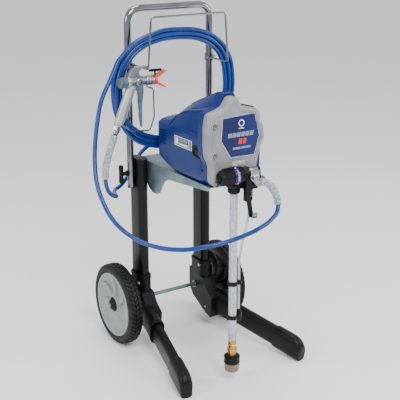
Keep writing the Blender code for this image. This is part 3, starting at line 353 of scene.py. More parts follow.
def inset(outline, amount):
    """Move an outline inwards by an even amount."""
    result, n = [], len(outline)
    for i in range(n):
        a, b, c = (Vector(outline[i - 1]), Vector(outline[i]), Vector(outline[(i + 1) % n]))
        d1, d2 = (b - a).normalized(), (c - b).normalized()
        n1, n2 = Vector((d1.y, -d1.x)), Vector((d2.y, -d2.x))
        mean = (n1 + n2).normalized()
        result.append(b + mean * (amount / max(mean.dot(n1), 0.4)))
    return [(p.x, p.y) for p in result]


def bake(made):
    """Turn a piece's modifiers into its mesh."""
    graph = bpy.context.evaluated_depsgraph_get()
    mesh = bpy.data.meshes.new_from_object(made.evaluated_get(graph), preserve_all_data_layers=True,
        depsgraph=graph)
    made.modifiers.clear()
    made.data = mesh
    return made


def soften(made, width, segments=2, angle=30):
    """Round a piece's sharp edges and keep its flat faces flat."""
    step = made.modifiers.new("edges", "BEVEL")
    step.width, step.segments, step.limit_method = width, segments, "ANGLE"
    step.angle_limit = radians(angle)
    step.miter_outer = "MITER_ARC"
    for face in made.data.polygons:
        face.use_smooth = True
    for edge in made.data.edges:
        edge.use_edge_sharp = False
    even = made.modifiers.new("even", "WEIGHTED_NORMAL")
    even.keep_sharp = False
    return bake(made)


def cut(made, *tools):
    """Take the tools out of a piece."""
    for tool in tools:
        step = made.modifiers.new("cut", "BOOLEAN")
        step.operation, step.solver, step.object = "DIFFERENCE", "EXACT", tool
    bpy.context.view_layer.update()
    bake(made)
    for tool in tools:
        bpy.data.objects.remove(tool, do_unlink=True)
    return made


def merge(name, *objects):
    """Join meshes into one piece, keeping each one's finish."""
    bm = bmesh.new()
    skins = []
    for ob in objects:
        start = len(bm.faces)
        ob.data.transform(ob.matrix_world)
        bm.from_mesh(ob.data)
        bm.faces.ensure_lookup_table()
        own = ob.data.materials[0]
        if own not in skins:
            skins.append(own)
        for face in bm.faces[start:]:
            face.material_index = skins.index(own)
    mesh = bpy.data.meshes.new(name)
    bm.to_mesh(mesh)
    bm.free()
    made = bpy.data.objects.new(name, mesh)
    bpy.context.scene.collection.objects.link(made)
    for skin in skins:
        mesh.materials.append(skin)
    for ob in objects:
        bpy.data.objects.remove(ob, do_unlink=True)
    mesh.set_sharp_from_angle(angle=radians(34))
    return made


def put(made, body, nodes=(), shifted=True):
    """Move a piece into the row frame and let it ride on its body."""
    if shifted:
        made.location += SHIFT
    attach(made, body)
    if nodes:
        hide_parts(*nodes)
    return made


def refined(node, body, width, segments=2, angle=30):
    """Stand in for a CAD node with the same shape, its edges rounded."""
    source = frame["nodes"][node]
    bm = bmesh.new()
    bm.from_mesh(source.data)
    bmesh.ops.remove_doubles(bm, verts=bm.verts[:], dist=0.00001)
    bmesh.ops.dissolve_limit(bm, angle_limit=radians(1.0), verts=bm.verts[:], edges=bm.edges[:])
    mesh = bpy.data.meshes.new(node + "_fine")
    bm.to_mesh(mesh)
    bm.free()
    made = add(node + "_fine", mesh, SLOT_OF[node])
    soften(made, width, segments, angle)
    return put(made, body, (node,), shifted=False)


# ---------------------------------------------------------------- camera, light, floor
def aim(ob, target):
    ob.rotation_euler = (Vector(target) - ob.location).to_track_quat("-Z", "Y").to_euler()


lens = bpy.data.cameras.new("camera")
lens.lens, lens.sensor_width, lens.clip_start = LENS_MM, 36.0, 0.01
camera = bpy.data.objects.new("camera", lens)
bpy.context.scene.collection.objects.link(camera)
TURN, TILT = radians(-32.9703), radians(17.9021)
back = Vector((sin(TURN) * cos(TILT), -cos(TURN) * cos(TILT), sin(TILT)))
camera.location = EYE + SHIFT
camera.rotation_euler = back.to_track_quat("Z", "Y").to_euler()
bpy.context.scene.camera = camera


def lamp(name, where, target, size, power):
    light = bpy.data.lights.new(name, "AREA")
    light.size, light.energy = size, power
    made = bpy.data.objects.new(name, light)
    bpy.context.scene.collection.objects.link(made)
    made.location = where
    aim(made, target)


lamp("key", (-0.5, -2.2, 2.5), (0, 0, 0.5), 1.2, 66)
lamp("left", (-2.4, -0.2, 1.5), (0, 0, 0.5), 0.9, 22)
lamp("right", (2.1, -1.2, 1.4), (0, 0, 0.5), 0.8, 20)
lamp("top", (0.1, 0.3, 2.6), (0, 0, 0.4), 0.9, 20)
world = bpy.data.worlds.new("studio")
bpy.context.scene.world = world
world.use_nodes = True
world.node_tree.nodes["Background"].inputs["Color"].default_value = (0.96, 0.97, 1.0, 1)
world.node_tree.nodes["Background"].inputs["Strength"].default_value = 0.95

floor = add("floor", bpy.data.meshes.new("floor"), "white_print")
floor_bm = bmesh.new()
floor_bm.faces.new([floor_bm.verts.new(p) for p in ((-9, -9, 0), (9, -9, 0), (9, 9, 0), (-9, 9, 0))])
floor_bm.to_mesh(floor.data)
floor_bm.free()
floor.data.materials.clear()
floor.data.materials.append(surface("floor_pale", (0.97, 0.97, 0.975), 0.75, 0.0, (0.95, 0.95, 0.955),
    1.5))

# ---------------------------------------------------------------- hose
OUTLET = Vector((0.0128, HY - 0.385, 0.5425))
LOOP = [(OUTLET.x + 0.0086, OUTLET.y, OUTLET.z), (0.033, OUTLET.y, OUTLET.z), (0.047, HY - 0.386, 0.538),
    (0.062, HY - 0.387, 0.524), (0.079, HY - 0.388, 0.493), (0.074, HY - 0.398, 0.466),
    (0.048, HY - 0.41, 0.4506), (0.0013, HY - 0.425, 0.4405), (-0.0485, HY - 0.43, 0.4318),
    (-0.1086, HY - 0.425, 0.423), (-0.156, HY - 0.406, 0.415), (-0.1987, HY - 0.37, 0.406),
    (-0.2501, HY - 0.3, 0.4085), (-0.27, HY - 0.264, 0.42), (-0.2845, HY - 0.234, 0.435),
    (-0.2968, HY - 0.205, 0.459), (-0.305, HY - 0.178, 0.4953), (-0.3065, HY - 0.153, 0.5325),
    (-0.2985, HY - 0.128, 0.583), (-0.288, HY - 0.113, 0.63), (-0.273, HY - 0.1, 0.68),
    (-0.255, HY - 0.09, 0.729), (-0.228, HY - 0.083, 0.772), (-0.208, HY - 0.075, 0.8),
    (-0.192, HY - 0.069, 0.822)]


def coil_point(t, out_by, along_y):
    """A point on the coil at angle t, moved out from the bundle's centre line."""
    c, s = cos(t), sin(t)
    x = (1 if c > 0 else -1) * abs(c) ** (2 / COIL_SQUARE)
    z = (1 if s > 0 else -1) * abs(s) ** (2 / COIL_SQUARE)
    out = Vector(((1 if x > 0 else -1) * abs(x) ** (COIL_SQUARE - 1) / COIL_A, 0,
        (1 if z > 0 else -1) * abs(z) ** (COIL_SQUARE - 1) / COIL_B)).normalized()
    return (Vector((COIL_X + COIL_A * x, COIL_Y, COIL_Z + COIL_B * z)) + out * out_by
        + Vector((0, along_y, 0)))


# where each turn lies in the bundle: out from its centre line, and fore and aft of its middle
LAYERS = [(0.0112, -0.0092), (-0.0004, -0.01), (-0.0118, -0.0076), (-0.0064, 0.0034), (0.0058, 0.0022),
    (0.0004, 0.0128)]
TURN_POINTS = 18
START_ANGLE, END_ANGLE = radians(146), radians(-95 - 360 * 5)
coil_route = []
steps_total = int((START_ANGLE - END_ANGLE) / (2 * pi) * TURN_POINTS)
for k in range(1, steps_total + 1):
    t = START_ANGLE + (END_ANGLE - START_ANGLE) * k / steps_total
    turn = (START_ANGLE - t) / (2 * pi)
    here = int(turn)
    share = max(0.0, (turn - here - 0.72) / 0.28)
    share = share * share * (3 - 2 * share)
    a, b = LAYERS[min(here, 5)], LAYERS[min(here + 1, 5)]
    wander = 0.001 * sin(2.3 * t + here)
    coil_route.append(coil_point(t, a[0] + (b[0] - a[0]) * share + wander, a[1] + (b[1] - a[1]) * share))
hose_route = [Vector(p) + SHIFT for p in LOOP + [tuple(p) for p in coil_route[1:]]]
hose = bezier("hose_line", hose_route, HOSE_R, "hose_blue", 6, 5)
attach(hose, "cart")
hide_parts("hose_loop", "hose_coil")


def sleeve(name, points, radius):
    """A springy clear guard over the hose's end, with rings along it."""
    return sweep(name, points, radius, "sleeve", 18, lambda k,
        s: (1.0 + 0.055 * (k % 2)) * (0.93 if s > 0.985 or s < 0.015 else 1.0))


loop_dense = smooth_route(LOOP[:8], 120)
pump_sleeve = put(sleeve("hose_guard_pump", [p for p in loop_dense[2:62]], 0.009), "cart")

GRIP_TOP, GRIP_END = Vector((-0.164, GUN_Y, BARREL_Z - 0.004)), Vector((-0.2095, GUN_Y, 0.656))
grip_axis = (GRIP_END - GRIP_TOP).normalized()
grip_side = Vector((-grip_axis.z, 0, grip_axis.x))
SWIVEL_END = GRIP_END + grip_axis * (0.02 + GAP)
TAIL = [SWIVEL_END, SWIVEL_END + grip_axis * 0.015, (-0.233, GUN_Y - 0.0005, 0.602),
    (-0.243, GUN_Y + 0.003, 0.565), (-0.246, GUN_Y + 0.008, 0.531), (-0.239, GUN_Y + 0.018, 0.496),
    (-0.221, GUN_Y + 0.032, 0.468), (-0.1933, GUN_Y + 0.052, 0.451), (-0.162, HY - 0.03 + 0.064, 0.443),
    (-0.13, HY + 0.05, 0.453), (-0.098, HY + 0.055, 0.483), (-0.072, HY + 0.053, 0.527),
    (-0.052, HY + 0.038, 0.554), (-0.04, HY + 0.008, 0.572), (-0.033, COIL_Y + 0.0212, 0.584)]
tail_route = [p + SHIFT for p in smooth_route(TAIL, 90)]
tail = sweep("hose_end", tail_route, HOSE_R, "hose_blue", 16)
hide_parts("hose_tail")
tail_sleeve = sleeve("hose_guard_gun", [p + SHIFT for p in smooth_route(TAIL, 150)[1:34]], 0.009)
for piece in (tail, tail_sleeve):
    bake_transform(piece)

# ---------------------------------------------------------------- suction and drain tubes
SUCTION = Vector((-0.037, HY - 0.363, 0.533 - GAP))
BARB = Vector((SUCTION.x, SUCTION.y, 0.1195 - GAP))
DRAIN = Vector((SUCTION.x + 0.0183, SUCTION.y - 0.001, 0.2045))
SPOUT = Vector((0.003, HY - 0.374, 0.533 - GAP))
suction_route = [Vector((SUCTION.x, SUCTION.y, z)) + SHIFT
    for z in (0.5191, 0.45, 0.38, 0.31, 0.24, 0.18, 0.1195)]
suction = bezier("suction_hose", suction_route, SUCTION_R, "clear_tube", 8, 4)
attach(suction, "cart")
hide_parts("suction_tube")
core = sweep("suction_bore", [p - SHIFT for p in suction_route], 0.0072, "milk_streak", 16)
put(core, "cart")
DRAIN_LINE = [(SPOUT.x, SPOUT.y, SPOUT.z - 0.01 - GAP), (SPOUT.x, SPOUT.y, 0.505),
    (SPOUT.x - 0.0012, SPOUT.y, 0.48), (0.0, SPOUT.y + 0.0005, 0.45), (-0.006, DRAIN.y - 0.004, 0.41),
    (-0.0135, DRAIN.y - 0.0015, 0.372), (DRAIN.x, DRAIN.y, 0.335), (DRAIN.x, DRAIN.y, 0.305),
    (DRAIN.x, DRAIN.y, 0.26), (DRAIN.x, DRAIN.y, 0.2045)]
drain_route = [Vector(p) + SHIFT for p in DRAIN_LINE]
drain = bezier("drain_hose", drain_route, DRAIN_R, "clear_tube", 6, 8)
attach(drain, "cart")
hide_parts("drain_tube")

barb = turned("suction_barb_turned", ((0.016, 0.0074), (0.0, 0.01), (-0.0014, 0.0108), (-0.01, 0.0108),
    (-0.0112, 0.0101), (-0.0124, 0.011), (-0.021, 0.011), (-0.0225, 0.0128), (-0.0262, 0.0131),
    (-0.031, 0.0128), (-0.0318, 0.0105), (-0.035, 0.0112), (-0.0385, 0.0105), (-0.042, 0.011)), BARB, "Z",
    "brass", 40)
put(barb, "cart", ("suction_barb",))
STRAIN = Vector((BARB.x, BARB.y, BARB.z - 0.042 - GAP))
ring = turned("strainer_ring_turned", ((0, 0.015), (-0.0012, 0.0195), (-0.003, 0.0212), (-0.0062, 0.0214),
    (-0.007, 0.0202), (-0.015, 0.02), (-0.016, 0.0212), (-0.0205, 0.0212), (-0.022, 0.02)), STRAIN, "Z",
    "black_plastic", 48)
put(ring, "cart", ("strainer_ring",))
cup_pieces = [turned("cup", ((-0.022, 0.019), (-0.03, 0.0187), (-0.042, 0.0176), (-0.046, 0.015)), STRAIN,
    "Z", "strainer_tan", 40)]
for k in range(18):
    a = 2 * pi * k / 18
    cup_pieces.append(sweep("rib%d" % k, [STRAIN + Vector((r * cos(a), r * sin(a), z))
        for z, r in ((-0.0225, 0.019), (-0.03, 0.0188), (-0.042, 0.0177), (-0.0455, 0.0156))], 0.0009,
        "strainer_tan", 6))
cup = put(merge("strainer_cup", *cup_pieces), "cart", ("strainer_screen",))


def snap_clip(name, z, half, small_r, nodes):
    """A collar round each tube and a web between them."""
    big = turned("big", ((-half, 0.0108), (-half + 0.0008, 0.0134), (half - 0.0008, 0.0134),
        (half, 0.0108)), (SUCTION.x, SUCTION.y, z), "Z", "black_plastic", 32, hollow=True)
    small = turned("small", ((-half, 0.0036), (-half + 0.0006, small_r), (half - 0.0006, small_r),
        (half, 0.0036)), (DRAIN.x, DRAIN.y, z), "Z", "black_plastic", 24, hollow=True)
    web = block("web", (SUCTION.x + 0.0115, SUCTION.y - 0.0038, z - half + 0.0006),
        (DRAIN.x - 0.0042, SUCTION.y + 0.003, z + half - 0.0006), "black_plastic")
    return put(merge(name, big, small, web), "cart", nodes)


clip_fine = snap_clip("clip_upper", 0.279, 0.0058, 0.007, ("tube_clip_upper",))
clip_low = snap_clip("clip_lower", 0.1852, 0.0056, 0.0082, ())
tip_body = turned("drain_tip_turned", ((0.0, 0.0036), (-0.001, 0.006), (-0.0036, 0.0066),
    (-0.005, 0.0052), (-0.007, 0.005), (-0.0084, 0.0078), (-0.028, 0.008), (-0.031, 0.006),
    (-0.033, 0.004)), (DRAIN.x, DRAIN.y, 0.2042), "Z", "black_plastic", 28)
tip_fine = put(tip_body, "cart", ("drain_tip",))
round(route_length(smooth_route(drain_route, 60)), 3)

# ---------------------------------------------------------------- cart: handle, rack, legs, feet
handle_path = rounded_path([(-HANDLE_X, HY, HANDLE_FOOT), (-HANDLE_X, HY, HANDLE_TOP - HANDLE_R),
    (HANDLE_X, HY, HANDLE_TOP - HANDLE_R), (HANDLE_X, HY, HANDLE_FOOT)], 0.04, 12)
put(sweep("handle_bar", handle_path, HANDLE_R, "chrome", 28), "cart", ("handle_tube",))
for word, side in SIDES:
    put(turned("handle_plug_" + word, ((-0.0022, 0.008), (-0.0022, HANDLE_R), (0.0, HANDLE_R)),
        (side * HANDLE_X, HY, HANDLE_FOOT), "Z", "black_plastic", 28), "cart")

RACK_ROOT = HY - HANDLE_R - 0.0072
rack_path = rounded_path([(-0.119, RACK_ROOT, RACK_LOW), (-0.1235, HY - 0.1, RACK_LOW),
    (-0.1135, HY - 0.1, RACK_HIGH), (0.1135, HY - 0.1, RACK_HIGH), (0.1235, HY - 0.1, RACK_LOW),
    (0.119, RACK_ROOT, RACK_LOW)], 0.01, 7)
put(sweep("rack_wire", rack_path, RACK_WIRE_R, "chrome", 16), "cart", ("hose_rack",))
for word, side in SIDES:
    refined("rack_clamp_" + word, "cart", 0.0006)
    put(turned("clamp_bolt_" + word, ((0.0, 0.003), (0.0, 0.005), (0.0035, 0.005), (0.0042, 0.004),
        (0.0042, 0.0022), (0.0095, 0.002)), (side * (HANDLE_X + HANDLE_R + 0.003), HY, RACK_LOW),
        facing(side), "steel", 6), "cart")


def along_foot(side):
    """A foot's root and its directions forward, across and up."""
    tip = Vector((FOOT_TIP.x * side, FOOT_TIP.y, FOOT_TIP.z))
    root = Vector((FOOT_ROOT.x * side, FOOT_ROOT.y, FOOT_ROOT.z))
    forward = (tip - root).normalized()
    across = forward.cross(Vector((0, 0, 1))).normalized()
    return root, forward, across, across.cross(forward).normalized()


def foot_loft(name, side, width, depth, stations, skin):
    """An oval drawn along a foot; each station has a distance, a scale and a drop."""
    root, forward, across, upright = along_foot(side)
    rings = []
    for distance, scale, drop in stations:
        centre = root + forward * distance - upright * drop
        rings.append([centre + across * (p[0] * (1 + (scale - 1) * 0.4)) + upright * (p[1] * scale)
            for p in oval(width, depth)])
        for p in rings[-1]:
            p.z = max(p.z, 0.0)
    made = loft(name, rings, skin)
    crisp(made, 50)
    return made


for word, side in SIDES:
    x = side * LEG_X
    leg = loft("leg_tube_" + word, [[Vector((x + p[0], HY + p[1], z)) for p in oval(LEG_W, LEG_D)]
        for z in (LEG_FOOT, LEG_TOP - 0.003)], "black_paint")
    crisp(leg, 50)
    put(leg, "cart", ("leg_" + word,))
    rows = [(LEG_TOP - 0.0085, 0.0012), (LEG_TOP - 0.008, 0.0018), (LEG_TOP - 0.0015, 0.0018),
        (LEG_TOP + 0.0005, 0.0002), (LEG_TOP + 0.0016, -0.005)]
    lid = loft("leg_lid_" + word, [[Vector((x + p[0], HY + p[1], z))
        for p in oval(LEG_W + 2 * g, LEG_D + 2 * g)] for z, g in rows], "black_plastic")
    crisp(lid, 38)
    put(lid, "cart")
    put(foot_loft("foot_tube_" + word, side, LEG_W, LEG_D - 0.004,
        ((0.0523, 1, 0), (FOOT_LENGTH - 0.03, 1, 0)), "black_paint"), "cart",
        ("foot_" + word,))
    shoe = foot_loft("foot_shoe_" + word, side, LEG_W + 0.007, LEG_D + 0.003,
        ((FOOT_LENGTH - 0.085, 0.975, 0), (FOOT_LENGTH - 0.083, 1, 0), (FOOT_LENGTH - 0.03, 1, 0),
        (FOOT_LENGTH - 0.02, 0.985, 0.0006), (FOOT_LENGTH - 0.012, 0.95, 0.0016),
        (FOOT_LENGTH - 0.005, 0.885, 0.0038), (FOOT_LENGTH + 0.001, 0.8, 0.0064),
        (FOOT_LENGTH + 0.0055, 0.7, 0.0095), (FOOT_LENGTH + 0.009, 0.54, 0.014)), "tyre_rubber")
    shoe.data.materials[0] = look("black_plastic")
    put(shoe, "cart", ("foot_cap_" + word,))
    refined("socket_" + word, "cart", 0.0016, 3, 26)
    inner = x - side * (SOCKET_W / 2)
    for k, (y, z) in enumerate(((HY - 0.0175, 0.186), (HY - 0.052, 0.064))):
        depth = inner if k == 0 else x - side * 0.0172
        put(turned("socket_rivet_%s_%d" % (word, k), ((0.0, 0.0052), (0.0014, 0.0048), (0.0022, 0.003)),
            (depth, y, z), facing(-side), "steel", 20), "cart")
    for k, (y, z) in enumerate(((HY - 0.022, 0.176), (HY - 0.05, 0.098))):
        depth = x + side * (SOCKET_W / 2) if k == 0 else x + side * 0.0172
        put(turned("socket_bolt_%s_%d" % (word, k), ((0.0, 0.005), (0.0016, 0.0044), (0.0024, 0.0026)),
            (depth, y, z), facing(side), "steel", 20), "cart")
    lip = [[Vector((x + p[0], HY + p[1], z)) for p in oval(SOCKET_W + 2 * g, LEG_D + 0.009 + 2 * g)]
        for z, g in ((0.1925, 0.0), (0.193, 0.0012), (0.199, 0.0012), (0.2002, 0.0002))]
    band = loft("socket_lip_" + word, lip, "black_plastic")
    crisp(band, 38)
    hole = loft("hole", [[Vector((x + p[0], HY + p[1], z)) for p in oval(LEG_W, LEG_D)]
        for z in (0.18, 0.21)], "black_plastic")
    put(cut(band, hole), "cart")
    cuff = foot_loft("foot_cuff_" + word, side, 0.0375 + 0.003, LEG_D + 0.011, ((0.0995, 0.975, 0),
        (0.1, 1, 0), (0.1075, 1, 0), (0.1085, 0.97, 0)), "black_plastic")
    hole = foot_loft("hole", side, LEG_W + 0.0002, LEG_D - 0.004 + 0.0002, ((0.09, 1, 0), (0.13, 1, 0)),
        "black_plastic")
    put(cut(cuff, hole), "cart")

# axle, with a stop washer inside each corner
put(turned("axle_rod", ((-WHEEL_FACE - 0.001, AXLE_R - 0.001), (-WHEEL_FACE, AXLE_R),
    (WHEEL_FACE, AXLE_R), (WHEEL_FACE + 0.001, AXLE_R - 0.001)), (0, AXLE_Y, WHEEL_R), "X", "zinc_steel",
    24), "cart", ("axle",))
for word, side in SIDES:
    inward = facing(-side)
    put(turned("axle_washer_" + word, ((0.0, AXLE_R), (0.0, 0.0105), (0.0014, 0.0105), (0.0018, 0.0078),
        (0.0062, 0.0074), (0.0066, AXLE_R)), (side * (LEG_X - SOCKET_W / 2), AXLE_Y, WHEEL_R), inward,
        "zinc_steel", 24, hollow=True), "cart")

# ---------------------------------------------------------------- wheels
BLOCKS = 27


def tread(word, side, centre):
    """Tyre carcass with three rows of slanted blocks that form a zigzag, and nicks on its shoulders."""
    u, v = Vector((0, 1, 0)), Vector((0, 0, 1))
    inward = Vector((-side, 0, 0))
    low = WHEEL_R - 0.0042

    def at(along, r, angle):
        return centre + inward * along + (u * cos(angle) + v * sin(angle)) * r

    bm = bmesh.new()
    profile = [(0.003, 0.0928), (0.0012, 0.0945), (0.0002, 0.0985), (0.0002, 0.103), (0.0012, 0.1062),
        (0.003, 0.1092), (0.006, 0.112), (0.01, low), (0.032, low), (0.036, 0.112), (0.039, 0.1092),
        (0.0408, 0.1062), (0.0418, 0.103), (0.0418, 0.0985), (0.0408, 0.0945), (0.039, 0.0928)]
    steps = 96
    rings = [[bm.verts.new(at(a, r, 2 * pi * k / steps)) for k in range(steps)] for a, r in profile]
    for i in range(len(rings)):
        a, b = rings[i], rings[(i + 1) % len(rings)]
        for k in range(steps):
            n = (k + 1) % steps
            bm.faces.new((a[k], a[n], b[n], b[k]))

    def lug(spans, low_r, top_r, inset):
        """One block from four (along, angle) corners."""
        mid = (sum(s[0] for s in spans) / 4, sum(s[1] for s in spans) / 4)
        bottom = [bm.verts.new(at(a, lr, t)) for (a, t), lr in zip(spans, low_r)]
        top = [bm.verts.new(at(a + (mid[0] - a) * inset, tr, t + (mid[1] - t) * inset))
            for (a, t), tr in zip(spans, top_r)]
        for k in range(4):
            n = (k + 1) % 4
            bm.faces.new((bottom[k], bottom[n], top[n], top[k]))
        bm.faces.new(top)
        bm.faces.new(bottom[::-1])

    pitch = 2 * pi / BLOCKS
    rows = ((0.0055, 0.015, 0.4), (0.016, 0.026, -0.4), (0.027, 0.0365, 0.4))
    for k in range(BLOCKS):
        for r, (a0, a1, slant) in enumerate(rows):
            t0 = pitch * (k + 0.5 * (r % 2))
            for half in (0, 1):
                s0, s1 = t0 + pitch * 0.5 * half, t0 + pitch * (0.5 * half + 0.36)
                lean = slant * pitch * (1 if half == 0 else 0.85)
                gap_r = WHEEL_R - 0.0046
                edge0 = 0.111 if r == 0 else gap_r
                edge1 = 0.111 if r == 2 else gap_r
                top0 = WHEEL_R - 0.0016 if r == 0 else WHEEL_R
                top1 = WHEEL_R - 0.0016 if r == 2 else WHEEL_R
                lug([(a0, s0), (a1, s0 + lean), (a1, s1 + lean), (a0, s1)], (edge0, edge1, edge1, edge0),
                    (top0, top1, top1, top0), 0.1)
        for a, b in ((0.0006, 0.0048), (0.0414, 0.0372)):
            for half in (0, 1):
                s0 = pitch * (k + 0.5 * half + 0.05)
                s1 = s0 + pitch * 0.3
                lug([(a, s0), (b, s0), (b, s1), (a, s1)], (0.1035, 0.1098, 0.1098, 0.1035),
                    (0.1062, 0.1134, 0.1134, 0.1062), 0.12)
    made = from_bmesh("tyre_tread_" + word, bm, "tyre_rubber")
    crisp(made, 28)
    return made


for word, side in SIDES:
    inward = facing(-side)
    centre = Vector((side * WHEEL_FACE, AXLE_Y, WHEEL_R))
    body = "wheel_" + word
    put(tread(word, side, centre), body, ("tyre_" + word,))
    bore = AXLE_R + GAP
    disc = turned("hub_disc_" + word, ((0.0035, RIM_R), (0.0012, RIM_R - 0.0012), (0.0004, RIM_R - 0.004),
        (0.0012, RIM_R - 0.0075), (0.0056, RIM_R - 0.01), (0.009, RIM_R - 0.013), (0.0122, 0.072),
        (0.0126, 0.04), (0.0118, 0.031), (0.0056, 0.027), (0.0036, 0.0245), (0.0042, 0.0215),
        (0.0105, 0.0205), (0.0105, bore), (0.0131, bore), (0.0131, RIM_R)), centre, inward, "grey_hub",
        72, hollow=True)
    parts = [disc]
    for k in range(7):
        a0 = 2 * pi * k / 7 + 0.2
        rows = []
        for s in range(11):
            share = s / 10
            r = 0.0262 + 0.0535 * share
            a = a0 + side * 0.5 * share ** 1.4

            def at_angle(da, rise):
                return (centre + inward[0] * rise
                    + (inward[1] * cos(a + da) + inward[2] * sin(a + da)) * r)

            crest = 0.0052 - 0.003 * (1 - share) ** 2 + 0.0016 * share
            rows.append([at_angle(-side * 0.04, 0.0124), at_angle(0.0, crest),
                at_angle(side * 0.035, crest), at_angle(side * (0.6 - 0.12 * share), 0.0126)])
        parts.append(loft("fan%d" % k, rows, "grey_hub"))
        # A dark triangle at each fan's outer end is painted shadow, standing in for the shade in a notch
        # near the rim.
        a = a0 + side * 0.5 - side * 0.075
        u = inward[1] * cos(a) + inward[2] * sin(a)
        w = inward[1] * -sin(a) + inward[2] * cos(a)
        corner = [u * 0.079 - w * 0.006, u * 0.079 + w * 0.005, u * 0.064 - w * 0.001]
        parts.append(loft("notch_shadow%d" % k, [[centre + inward[0] * h + c for c in corner]
            for h in (0.0104, 0.0128)], "painted_shade"))
    put(merge("hub_face_" + word, *parts), body, ("wheel_hub_" + word,))
    reach = WHEEL_FACE - LEG_X - SOCKET_W / 2 - 0.0006
    well = turned("hub_well_" + word, ((0.0132, bore), (reach, bore), (reach, 0.012),
        (TYRE_W + 0.006, 0.0135), (TYRE_W - 0.004, 0.0155), (0.024, 0.017), (0.022, 0.03),
        (0.022, RIM_R - 0.014), (TYRE_W - 0.005, RIM_R - 0.008), (TYRE_W - 0.0015, RIM_R - 0.0065),
        (TYRE_W - 0.0015, RIM_R - 0.0002), (0.0132, RIM_R - 0.0002)), centre, inward, "black_hub", 64,
        hollow=True)
    parts = [well]
    # Eight curved blades inside each hub, in a lighter grey that paints the bright edges the light picks
    # out.
    for k in range(8):
        a0 = 2 * pi * k / 8
        rows = []
        for s in range(9):
            share = s / 8
            r = 0.015 + 0.0665 * share
            a = a0 - side * 0.8 * share ** 1.2
            u = inward[1] * cos(a) + inward[2] * sin(a)
            w = inward[1] * -sin(a) + inward[2] * cos(a)
            top = TYRE_W - 0.003 + 0.006 * (1 - share) ** 2
            half = 0.0011
            rows.append([centre + inward[0] * 0.0225 + u * r - w * half, centre + inward[0] * 0.0225
                + u * r + w * half, centre + inward[0] * top + u * r + w * half * 0.6, centre
                + inward[0] * top + u * r - w * half * 0.6])
        parts.append(loft("blade%d" % k, rows, "blade_edge"))
    put(merge("hub_back_" + word, *parts), body)
    cap = [turned("cap", ((0.0107, 0.0197), (0.0046, 0.0197), (0.003, 0.019), (0.0008, 0.0168),
        (-0.0018, 0.0145), (-0.004, 0.0125), (-0.0056, 0.0095), (-0.006, 0.006)), centre, inward,
        "black_plastic", 40)]
    cap.append(turned("nut", ((-0.0075, 0.003), (-0.007, 0.0048), (-0.004, 0.005)), centre, inward,
        "zinc_steel", 20))
    put(merge("wheel_cap_" + word, *cap), body, ("hub_cap_" + word,))

# ---------------------------------------------------------------- clamp knobs
for word, side in SIDES:
    out = facing(side)
    start = side * (HANDLE_X + HANDLE_R + GAP)
    stem = turned("stem", ((0, 0.008), (0.0005, 0.0085), (0.003, 0.0085), (0.004, 0.0064),
        (0.006, 0.0058), (0.014, 0.0058)), (start, HY, KNOB_Z), out, "black_plastic", 32)
    x = start + side * 0.02
    bar = [[Vector((x + a * f * 1.05, HY + b * f, KNOB_Z + z)) for a, b in oval(0.0118, 0.015, 8)]
        for z, f in ((-0.0255, 0.55), (-0.0248, 0.8), (-0.0225, 0.96), (-0.019, 1.0), (-0.008, 0.92),
        (0.0, 0.9), (0.008, 0.92), (0.019, 1.0), (0.0225, 0.96), (0.0248, 0.8), (0.0255, 0.55))]
    put(merge("knob_grip_" + word, stem, loft("bar", bar, "black_plastic")), "knob_" + word,
        ("handle_knob_" + word,))

# ---------------------------------------------------------------- shelf
refined("shelf_bracket", "cart", 0.0014, 3, 28)
SHELF_X = LEG_X - LEG_W / 2 - GAP
for word, side in SIDES:
    edge = side * (SHELF_X - 0.0016)
    put(sweep("shelf_roll_" + word, [(edge, HY - 0.326, 0.5316), (edge, HY - 0.2, 0.5316),
        (edge, HY - 0.036, 0.5316)], 0.0019, "zinc_steel", 12), "cart")
    for k, y in enumerate((HY - 0.3, HY - 0.19)):
        put(turned("shelf_bolt_%s_%d" % (word, k), ((0.0, 0.0055), (-0.0035, 0.0055), (-0.0045, 0.0042)),
            (side * 0.06, y, 0.5293), "Z", "steel", 6), "cart")
    put(turned("shelf_stud_" + word, ((0.0, 0.0035), (0.0, 0.0052), (0.003, 0.005), (0.0038, 0.0036)),
        (side * (SHELF_X - 0.0032), HY - 0.07, 0.502), facing(-side), "steel", 6), "cart")

# ---------------------------------------------------------------- pump unit: shroud, cover, label
# Outlines in X and Z, from the lower left, up the left side, over the hump and down the right.
def hood(bottom, deck, ridge, hump):
    return [(-0.08, bottom), (-0.0866, bottom + 0.009), (-0.088, bottom + 0.025), (-0.088, 0.613),
        (-0.088, 0.648), (-0.0868, 0.6545), (-0.075, deck), (-0.058, ridge), (-0.042, hump),
        (-0.009, hump), (0.005, ridge), (0.043, deck), (0.06, 0.664 + (deck - 0.662) * 0.6),
        (0.066, 0.656), (0.069, 0.642), (0.07, 0.625), (0.07, 0.6), (0.069, bottom + 0.03),
        (0.058, bottom)]


HOOD = [(HY - 0.084, hood(0.5555, 0.662, 0.665, 0.667)), (HY - 0.12, hood(0.543, 0.664, 0.669, 0.675)),
    (HY - 0.16, hood(0.533, 0.683, 0.687, 0.704)), (HY - 0.205, hood(0.533, 0.702, 0.706, 0.724)),
    (HY - 0.289, hood(0.533, 0.719, 0.725, 0.758))]
RIM = [(-0.076, 0.533), (-0.088, 0.548), (-0.088, 0.59), (-0.1005, 0.613), (-0.102, 0.64), (-0.102, 0.69),
    (-0.096, 0.718), (-0.054, 0.729), (-0.037, 0.756), (-0.0135, 0.755), (0.0, 0.731), (0.05, 0.718),
    (0.0585, 0.702), (0.056, 0.687), (0.0665, 0.678), (0.0715, 0.644), (0.058, 0.619), (0.046, 0.567),
    (0.044, 0.533)]
FLANGE = RIM[:8] + [(-0.04, 0.761), (-0.01, 0.76), (0.002, 0.733), (0.05, 0.72), (0.061, 0.702),
    (0.067, 0.687), (0.07, 0.678), (0.072, 0.644), (0.072, 0.619), (0.071, 0.563), (0.06, 0.533)]


